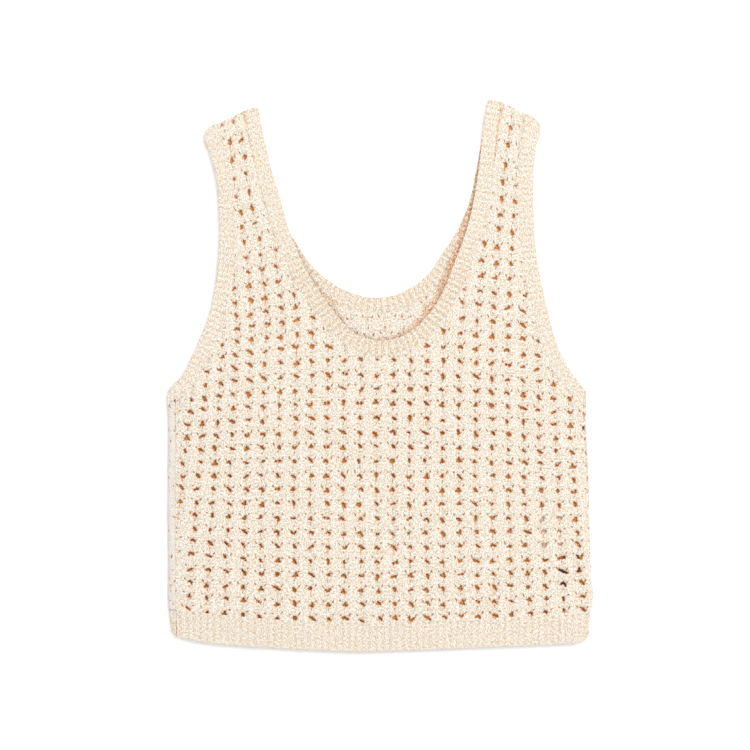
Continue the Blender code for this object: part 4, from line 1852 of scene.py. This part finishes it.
@dataclass(frozen=True)
class KnitFinish:
    """The finish of one knitted cloth.

    Attributes:
        name: the material's name.
        cream: the yarn.
        hollow: painted shade between the yarn's curls.
        fleck: painted highlight on the tops of the curls.
        deep: painted shade in the gaps.
        covered: painted shade where another layer lies over it.
        beside: in the shade beside that layer.
        eye: painted shade in the small holes beside the gaps and their slits, in dents and in
            specks.
        dull: painted shade at the left fold and along the hem's edge, where the cloth rounds away.
        wales, courses: how many wales and courses one step of the knitting's place has.
        net: with the painted shade of the eyes and slits of the openwork.
        lean, curl, fleck_share: how far the strands lean, and how much of the
        painted shade in the hollows and of the painted highlights shows, each for the openwork and
        for the ribs.

    The other values are shares, noise scales and the limits between which an effect grows;
    groove, relief_groove and middle set the painted shade in the grooves and down the middle of
    each column of gaps, and those from fuzz to deep_at shape the painted shade by the gaps and the
    other layer.
    """

    lean, curl, fleck_share = (0.6, 0.0), (0.85, 0.6), (0.85, 0.65)
    groove, relief_groove = 0.3, 0.46
    middle, middle_at = 0.2, (0.24, 0.06)
    cool, warm = (0.94, 0.985, 1.07, 1.0), (1.06, 1.015, 0.93, 1.0)
    dull_share = 0.55
    fuzz, fuzz_at, depth_at = 0.9, (0.02, 0.3), (0.12, 0.8)
    under_at, edge_at, near_at = (0.85, 1.0), (0.45, 0.8), (0.02, 0.95)
    ragged = 0.25
    clot_scale, clot_at, clot = 430.0, (0.44, 0.58), 0.72
    speck_scale, speck_at, speck_from = 560.0, (0.6, 0.66), (0.2, 0.6)
    deep_at = (0.5, 0.95)
    surface = (("Roughness", 0.92), ("Specular IOR Level", 0.2), ("Sheen Weight", 0.25),
               ("Sheen Roughness", 0.5))
    stitch_height, yarn_height, gap_height = 0.5, 1.1, 0.8
    bump, bump_depth = 0.75, 0.55 * MM

    name: str
    cream: Colour
    hollow: Colour
    fleck: Colour
    deep: Colour
    covered: Colour
    beside: Colour
    eye: Colour
    dull: Colour
    wales: float
    courses: float
    net: bool

    def make(self, groups: dict[str, NodeTree]) -> Material:
        """Makes the material.

        Args:
            groups: the shared node groups.

        Returns:
            The material.
        """
        material = bpy.data.materials.new(self.name)
        material.use_nodes = True
        w = Wiring(material.node_tree)
        shader = material.node_tree.nodes["Principled BSDF"]
        kind = 0 if self.net else 1
        place = w.node("ShaderNodeTexCoord").outputs
        parts = w.node("ShaderNodeSeparateXYZ", Vector=place["UV"]).outputs
        wale = w.times(parts["X"], self.wales)
        yarn = w.node("ShaderNodeGroup")
        yarn.node_tree = groups["yarn"]
        w.feed(yarn.inputs["Place"], place["Object"])
        w.feed(yarn.inputs["Wale"], wale)
        yarn.inputs["Lean"].default_value = self.lean[kind]
        knit = w.node("ShaderNodeGroup")
        knit.node_tree = groups["stitches"]
        w.feed(knit.inputs["Wale"], wale)
        w.feed(knit.inputs["Course"], w.times(parts["Y"], self.courses))

        def colour(value: Colour, gain: float = 1.0) -> tuple:
            """A colour, made lighter or darker, as for the lit and shaded copies of the painted
            shades.
            """
            return (*(gain * part for part in value), 1.0)

        def mask(name: str) -> NodeSocket:
            """Reads one of the mesh's masks.

            Args:
                name: the mask's name.

            Returns:
                Its output.
            """
            made = w.node("ShaderNodeAttribute")
            made.attribute_name = name
            return made.outputs["Fac"]

        # Painted shade between the yarn's curls, in the stitches' and the ribs' grooves, and down
        # the middle of each column of gaps.
        hollow = yarn.outputs["Hollow"]
        shade = w.times(hollow, self.curl[kind])
        shade = w.math("MULTIPLY_ADD", knit.outputs["Groove"], self.groove, shade)
        shade = w.math("MULTIPLY_ADD", mask("groove"), self.relief_groove, shade)
        # Painted shade down the middle of each column of gaps.
        if self.net:
            across = w.off_whole(parts["X"])
            in_middle = w.ramp(w.math("ABSOLUTE", across), *self.middle_at)
            shade = w.math("MULTIPLY_ADD", in_middle, self.middle, shade)
        shade = w.math("MINIMUM", shade, 1.0)
        base = w.blend(shade, colour(self.cream), colour(self.hollow))
        # Painted highlight on the tops of the curls.
        fleck = w.times(yarn.outputs["Fleck"], self.fleck_share[kind])
        base = w.blend(fleck, base, colour(self.fleck))
        base = w.product(base, w.blend(yarn.outputs["Tint"], self.cool, self.warm))
        # Painted shade at the left fold and along the hem's edge.
        dull = w.times(mask("dull"), self.dull_share)
        base = w.blend(dull, base, colour(self.dull))
        # Painted shade in the gaps, with a ragged edge.
        depth = mask("recess")
        fuzz = w.times(w.minus(hollow, 0.4), self.fuzz)
        fuzz = w.times(fuzz, w.ramp(depth, *self.fuzz_at))
        depth = w.ramp(w.math("ADD", depth, fuzz), *self.depth_at)
        # Painted shade under the other layer and beside its edge, broken up by clots.
        under = w.ramp(mask("cover"), *self.under_at)
        hidden = w.blend(shade, colour(self.covered), colour(self.covered, 0.6))
        edge = w.ramp(mask("cover"), *self.edge_at)
        beside = w.blend(shade, w.blend(edge, colour(self.beside, 0.68), colour(self.beside)),
                         colour(self.beside, 0.45))
        clots = w.noise(place["Object"], self.clot_scale, 1.0, 0.5, 0.3)
        clots = w.ramp(clots, *self.clot_at)
        near = w.minus(hollow, 0.4)
        near = w.math("MULTIPLY_ADD", near, self.ragged, mask("cover"))
        near = w.times(w.ramp(near, *self.near_at),
                       w.math("MULTIPLY_ADD", clots, self.clot, 1.0 - self.clot))
        cover = w.math("MAXIMUM", near, under)
        base = w.blend(cover, base, w.blend(under, beside, hidden))
        # Dark painted specks in the shade beside the other layer.
        specks = w.noise(place["Object"], self.speck_scale, 0.0, 0.5, 0.0)
        specks = w.times(w.ramp(specks, *self.speck_at), w.ramp(mask("cover"), *self.speck_from))
        base = w.blend(w.times(specks, w.minus(1.0, under)), base, colour(self.eye, 1.3))
        # Painted shade: shallow dents take a lighter copy of the eye colour, open gaps the deep
        # colour.
        deep = w.blend(w.ramp(mask("recess"), *self.deep_at), colour(self.eye, 1.4),
                       colour(self.deep))
        base = w.blend(depth, base, deep)
        # Painted shade in the eyes beside each gap and the slit under it.
        if self.net:
            eyes = w.node("ShaderNodeGroup")
            eyes.node_tree = groups["pinholes"]
            w.feed(eyes.inputs["Column"], parts["X"])
            w.feed(eyes.inputs["Row"], parts["Y"])
            w.feed(eyes.inputs["Place"], place["Object"])
            base = w.blend(eyes.outputs["Mask"], base, colour(self.eye))
            depth = w.math("MAXIMUM", depth, eyes.outputs["Mask"])
        w.feed(shader.inputs["Base Color"], base)
        for label, value in self.surface:
            shader.inputs[label].default_value = value
        height = w.math("ADD", w.times(knit.outputs["Height"], self.stitch_height),
                        w.times(yarn.outputs["Height"], self.yarn_height))
        height = w.minus(height, w.times(depth, self.gap_height))
        bump = w.node("ShaderNodeBump", Strength=self.bump, Distance=self.bump_depth,
                      Height=height)
        w.feed(shader.inputs["Normal"], bump.outputs["Normal"])
        return material


@dataclass(frozen=True)
class LabelFinish:
    """The finish of a blank woven label: a fine weave with a sewn line beside its right end.

    Attributes:
        name: the material's name.
        colour: the tape.
        thread: the sewn line.
        weft_pitch, warp_pitch, dash_pitch: of the weave and of the sewn line, in mm.
        row_at: where the sewn line is, in mm from the middle.
        valley: how dark the painted shade in the weave between its threads is.
    """

    weft_pitch, warp_pitch = 0.6, 0.5
    valley = 0.82
    row_at, row_edge = 10.0, (0.5, 0.2)
    dash_pitch, dash_at = 3.0, (-0.2, 0.1)
    rough, weave_height, bump, bump_depth = 0.5, 0.4, 0.5, 0.15 * MM

    name: str
    colour: Colour
    thread: Colour

    def make(self) -> Material:
        """Makes the material.

        Returns:
            The material.
        """
        material = bpy.data.materials.new(self.name)
        material.use_nodes = True
        w = Wiring(material.node_tree)
        shader = material.node_tree.nodes["Principled BSDF"]
        parts = w.node("ShaderNodeSeparateXYZ",
                       Vector=w.node("ShaderNodeTexCoord").outputs["UV"]).outputs
        weft = w.math("SINE", w.times(parts["Y"], 2.0 * pi / self.weft_pitch))
        warp = w.math("SINE", w.times(parts["X"], 2.0 * pi / self.warp_pitch))
        weave = w.math("MULTIPLY_ADD", w.times(weft, warp), 0.5, 0.5)
        off = w.math("ABSOLUTE", w.minus(parts["X"], self.row_at))
        dash = w.math("SINE", w.times(parts["Y"], 2.0 * pi / self.dash_pitch))
        stitch = w.times(w.ramp(off, *self.row_edge), w.ramp(dash, *self.dash_at))
        # Painted shade in the weave between the threads.
        low = tuple(self.valley * c for c in self.colour)
        base = w.blend(weave, (*low, 1.0), (*self.colour, 1.0))
        w.feed(shader.inputs["Base Color"], w.blend(stitch, base, (*self.thread, 1.0)))
        shader.inputs["Roughness"].default_value = self.rough
        height = w.math("ADD", w.times(weave, self.weave_height), stitch)
        bump = w.node("ShaderNodeBump", Strength=self.bump, Distance=self.bump_depth,
                      Height=height)
        w.feed(shader.inputs["Normal"], bump.outputs["Normal"])
        return material


@dataclass
class Studio:
    """The floor, the soft light and the camera straight above.

    Attributes:
        pixel: how much of the floor one pixel of the picture covers.
        pixels: the picture's width and height.
        middle: the place on the floor at the picture's middle.
        distance: the camera's height.
        sensor: the width of the camera's sensor in mm.
        floor_half, floor_down: the floor's half width, and how far it lies below the cloth.
        surround: the strength of the even light.
    """

    sensor = 36.0
    floor_half, floor_down = 4.0, 0.3 * MM
    paper, paper_rough = (0.93, 0.93, 0.93, 1.0), 0.9
    surround = 1.05
    lamp_size, lamp_power, lamp_spot = 2.4, 63.0, (1.125, 1.425, 2.625)

    pixel: float = 0.957 * MM
    pixels: int = 750
    middle: tuple[float, float] = (-4.785 * MM, 0.957 * MM)
    distance: float = 3.0

    def floor(self) -> None:
        """Lays the plain pale floor."""
        bm = bmesh.new()
        bmesh.ops.create_grid(bm, x_segments=1, y_segments=1, size=self.floor_half)
        bmesh.ops.translate(bm, verts=bm.verts[:], vec=(0.0, 0.0, -self.floor_down))
        mesh = bpy.data.meshes.new("floor")
        bm.to_mesh(mesh)
        bm.free()
        material = bpy.data.materials.new("floor_paper")
        material.use_nodes = True
        shader = material.node_tree.nodes["Principled BSDF"]
        shader.inputs["Base Color"].default_value = self.paper
        shader.inputs["Roughness"].default_value = self.paper_rough
        mesh.materials.append(material)
        floor = bpy.data.objects.new("floor", mesh)
        bpy.context.scene.collection.objects.link(floor)

    def lights(self) -> None:
        """Sets the even surrounding light and one large soft lamp from the upper right."""
        world = bpy.data.worlds.new("studio")
        world.use_nodes = True
        background = world.node_tree.nodes["Background"]
        background.inputs["Color"].default_value = (1.0, 1.0, 1.0, 1.0)
        background.inputs["Strength"].default_value = self.surround
        bpy.context.scene.world = world
        lamp = bpy.data.lights.new("soft_box", "AREA")
        lamp.shape = "RECTANGLE"
        lamp.size, lamp.size_y = self.lamp_size, self.lamp_size
        lamp.energy = self.lamp_power
        made = bpy.data.objects.new("soft_box", lamp)
        made.location = self.lamp_spot
        direction = -made.location.copy()
        made.rotation_euler = direction.to_track_quat("-Z", "Y").to_euler()
        bpy.context.scene.collection.objects.link(made)

    def camera(self) -> None:
        """Sets the camera straight above, with the top of the picture towards the shoulders."""
        camera = bpy.data.cameras.new("camera")
        camera.sensor_width = self.sensor
        camera.lens = self.sensor * self.distance / (self.pixel * self.pixels)
        camera.clip_end = 20.0
        made = bpy.data.objects.new("camera", camera)
        made.location = (*self.middle, self.distance)
        bpy.context.scene.collection.objects.link(made)
        bpy.context.scene.camera = made

    def build(self) -> None:
        """Sets up the whole studio, with colours shown as they are."""
        self.floor()
        self.lights()
        self.camera()
        view = bpy.context.scene.view_settings
        view.view_transform = "Standard"
        view.look = "None"


class Garment:
    """The whole top.

    Attributes:
        below_hem: two spots past the hem's corners, which close the front's outline.
        no_gaps_left: the front has only dents to the left of this X.
        stretched: the patch of larger gaps: its middle and its radius, in mm.
        opening_margin: how far under the front the dents of the neck opening reach.
        hem_flat: a hem's flat size, with its turned side.
        label_sizes: the white label's and the black one's, in mm.

    The other values are the place, the reach and the darkness of the front's shade on the back.
    """

    below_hem = ((-210.0, -265.0), (210.0, -265.0))
    shadow = (1.4 * MM, 0.6 * MM)
    patch_size, patch = 3.4 * MM, 2.4
    shade_most, shade_from, shade_rise = (0.46, 0.84), 12.0 * MM, 35.0 * MM
    shade_reach, shade_run = 7.8, 7.0 * MM
    seam_shade, seam_width, seam_from, seam_fall = 0.66, 1.5 * MM, -31.0 * MM, 8.0 * MM
    cover_from, cover_run = 1.5 * MM, 4.0 * MM
    no_gaps_left = -193.5 * MM
    stretched = (181.0, -189.0, 21.0)
    opening_margin = 2.0 * MM
    hem_flat = (0.412, 0.0265)
    label_sizes = ((36.0, 43.0), (26.0, 29.0))

    def __init__(self) -> None:
        """Draws the edges and outlines that the pieces share."""
        self.neck_front = RibEdge(NECK_FRONT, -1.0, NECK_WIDTH, NECK_LEFT_END, NECK_RIGHT_END)
        self.neck_back = RibEdge(NECK_BACK, -1.0, NECK_WIDTH, NECK_LEFT_END, NECK_RIGHT_END)
        self.arm_left = RibEdge(ARMHOLE_LEFT, 1.0, ARMHOLE_WIDTH, ARMHOLE_LEFT_END, None)
        self.arm_right = RibEdge(ARMHOLE_RIGHT, -1.0, ARMHOLE_WIDTH, ARMHOLE_RIGHT_END, None)
        self.front_cut = panel_outline(self.neck_front, self.arm_left, self.arm_right, FrontLayer)
        self.back_cut = panel_outline(self.neck_back, self.arm_left, self.arm_right, BackLayer)
        self.front_edge = Outline(np.vstack([
            metres(self.below_hem), self.arm_right.free_line()[::-1],
            self.neck_front.free_line()[::-1], self.arm_left.free_line()]))
        groups = {"yarn": ShaderGroups.yarn(), "stitches": ShaderGroups.stitches(),
                  "pinholes": ShaderGroups.pinholes()}
        # The cream is the yarn's own colour; after it come the painted shade between the curls,
        # the painted highlight on them, and the painted shades in the gaps, under the front,
        # beside it, in the eyes and at the folds.
        cream, hollow, fleck = (0.675, 0.61, 0.515), (0.51, 0.375, 0.24), (0.755, 0.765, 0.735)
        colours = (cream, hollow, fleck, (0.8, 0.225, 0.045), (1.0, 0.405, 0.09),
                   (0.82, 0.47, 0.26), (0.36, 0.135, 0.045), (0.61, 0.58, 0.54))
        self.openwork = KnitFinish("openwork_knit", *colours, wales=WALES_PER_GAP,
                                   courses=WALES_PER_GAP, net=True).make(groups)
        self.rib = KnitFinish("rib_knit", *colours, wales=1.0, courses=1.0, net=False).make(groups)
        self.white = LabelFinish("label_white", (0.78, 0.74, 0.71), (0.6, 0.57, 0.54)).make()
        self.black = LabelFinish("label_black", (0.02, 0.02, 0.022), (0.1, 0.1, 0.1)).make()

    def shade_of_front(self, at: Array) -> Array:
        """Works out how much painted shade each place takes from the front layer: under it, beside
        its edge and along the back's seam.

        Args:
            at: the places, (n, 2).

        Returns:
            The shares, from 0 to 1.
        """
        inside, _ = self.front_edge.measure(at + np.array(self.shadow))
        patch = lumps(at[:, 0], at[:, 1], self.patch_size, 77)
        most = mix(*self.shade_most, smooth_step((at[:, 0] - self.shade_from) / self.shade_rise))
        reach = (self.shade_reach + self.patch * patch) * MM
        beside = most * smooth_step((inside + reach) / self.shade_run)
        to_seam, _ = self.back_cut.measure(at)
        seam = self.seam_shade * np.exp(-(to_seam / self.seam_width) ** 2)
        seam *= smooth_step((self.seam_from - at[:, 0]) / self.seam_fall)
        hidden = smooth_step((inside - self.cover_from) / self.cover_run)
        return np.maximum(beside, seam) + (1.0 - most) * hidden

    def front_panel(self) -> Object:
        """Builds the front panel.

        Returns:
            The piece.
        """
        layout = KnitLayout()
        gaps = Gaps(layout, self.front_cut, seed=11, size=0.97, stretched=self.stretched,
                    keep_off=lambda at: at[..., 0] < self.no_gaps_left)
        panel = OpenworkPanel(
            "front_panel_knit", "front_panel", FrontLayer, self.front_cut, layout, gaps,
            closed=False, columns=cell_lines(-2, 25, 0.2, 6, 8),
            rows=cell_lines(-1, 35, 0.2, 5, 7), seed=101)
        return panel.build(self.openwork)

    def back_panel(self) -> Object:
        """Builds the back panel, whose gaps lie between the front's.

        Returns:
            The piece.
        """
        layout = KnitLayout(0.5, 0.5)

        def in_opening(at: Array) -> Array:
            """Which places lie outside the front."""
            inside, _ = self.front_edge.measure(at.reshape(-1, 2))
            return (inside < self.opening_margin).reshape(at.shape[:-1])

        gaps = Gaps(layout, self.back_cut, seed=23, size=0.92, keep_off=in_opening)
        panel = OpenworkPanel(
            "back_panel_knit", "back_panel", BackLayer, self.back_cut, layout, gaps, closed=True,
            columns=cell_lines(-4, 25, 0.2, 4, 5), rows=cell_lines(-2, 35, 0.2, 4, 4),
            seed=211, covered=self.shade_of_front)
        return panel.build(self.openwork)

    def bands(self) -> list[Object]:
        """Builds the neck and armhole bands.

        Returns:
            The neck's front and back, then the armholes' front left and right, back left and
            right.
        """
        def flat(x: Array, y: Array) -> Array:
            """The height of the back layer's bands, which lie on the floor."""
            return np.zeros(len(x))

        neck, arm = RibSection(NECK_WIDTH), RibSection(ARMHOLE_WIDTH)
        length = self.arm_left.line.length / MM
        made = [
            RibBand("neck_band_front_knit", "neck_band_front", neck, seed=41,
                    edge=self.neck_front, bulge=(0.9, 0.9), tint=1.4, strained=True),
            RibBand("neck_band_back_knit", "neck_band_back", neck, seed=43,
                    edge=self.neck_back, rest=flat, covered=self.shade_of_front,
                    bulge=(0.9, 0.9)),
            RibBand("armhole_band_front_left_knit", "armhole_band_front_left", arm, seed=45,
                    edge=self.arm_left, tint=0.4, bulge=(2.2, 0.0),
                    bumps=((8.0, 5.0, 1.2), (length - 12.0, 7.0, 0.5))),
            RibBand("armhole_band_front_right_knit", "armhole_band_front_right", arm, seed=47,
                    edge=self.arm_right, tint=0.4, bulge=(2.0, 0.0),
                    bumps=((8.0, 5.0, 1.2),)),
            RibBand("armhole_band_back_left_knit", "armhole_band_back_left", arm, seed=49,
                    edge=self.arm_left, rest=flat, bulge=(2.0, 0.0)),
            RibBand("armhole_band_back_right_knit", "armhole_band_back_right", arm, seed=51,
                    edge=self.arm_right, rest=flat, bulge=(1.8, 0.0)),
        ]
        return [band.build(self.rib) for band in made]

    def hems(self) -> list[Object]:
        """Builds the two hems.

        Returns:
            The front one and the back one.
        """
        section = RibSection(HEM_WIDTH, top=18, bottom=7)
        made = [
            HemBand("hem_band_front_knit", "hem_band_front", section, seed=61, layer=FrontLayer,
                    edge_shade=1.0, slit_end=True, tint=0.55),
            HemBand("hem_band_back_knit", "hem_band_back", section, relief=0.5 * MM, seed=63,
                    layer=BackLayer),
        ]
        return [hem.build(self.rib) for hem in made]

    def labels(self) -> list[Object]:
        """Builds the two blank labels.

        Returns:
            The white one and the black one.
        """
        white_size, black_size = self.label_sizes
        white = SewnLabel("care_label_white_tape", "care_label_white", "label_white",
                          (166.0, -147.0), white_size, turn=-2.0)
        black = SewnLabel("care_label_black_tape", "care_label_black", "label_black",
                          (177.8, -186.8), black_size, turn=0.0, slant=0.5)
        return [white.build(self.white), black.build(self.black)]

    def declare(self, front: Object, back: Object, bands: list[Object], hems: list[Object],
                labels: list[Object]) -> None:
        """Works out the panels' sizes and areas and lists what the bands and hems lie on, but
        keeps none of it.

        Args:
            front, back: the panels; not used.
            bands, hems, labels: the other pieces, in the order in which they were built.
        """
        self.front_cut.size()
        self.front_cut.area()
        self.back_cut.size()
        self.back_cut.area()
        edges = [self.neck_front, self.neck_back, self.arm_left, self.arm_right, self.arm_left,
                 self.arm_right]
        rests = [bands[1].name, "floor", bands[4].name, bands[5].name, "floor", "floor"]
        for band, edge, rest in zip(bands, edges, rests):
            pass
        for hem, rest in zip(hems, (hems[1].name, "floor")):
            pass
        for label, (wide, high) in zip(labels, self.label_sizes):
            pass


def main() -> None:
    """Builds the studio and the garment in order."""
    logging.basicConfig(level=logging.INFO, format="%(name)s %(message)s")
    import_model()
    Studio().build()
    garment = Garment()
    front, back = garment.front_panel(), garment.back_panel()
    bands, hems, labels = garment.bands(), garment.hems(), garment.labels()
    garment.declare(front, back, bands, hems, labels)


if __name__ == "__main__":
    main()
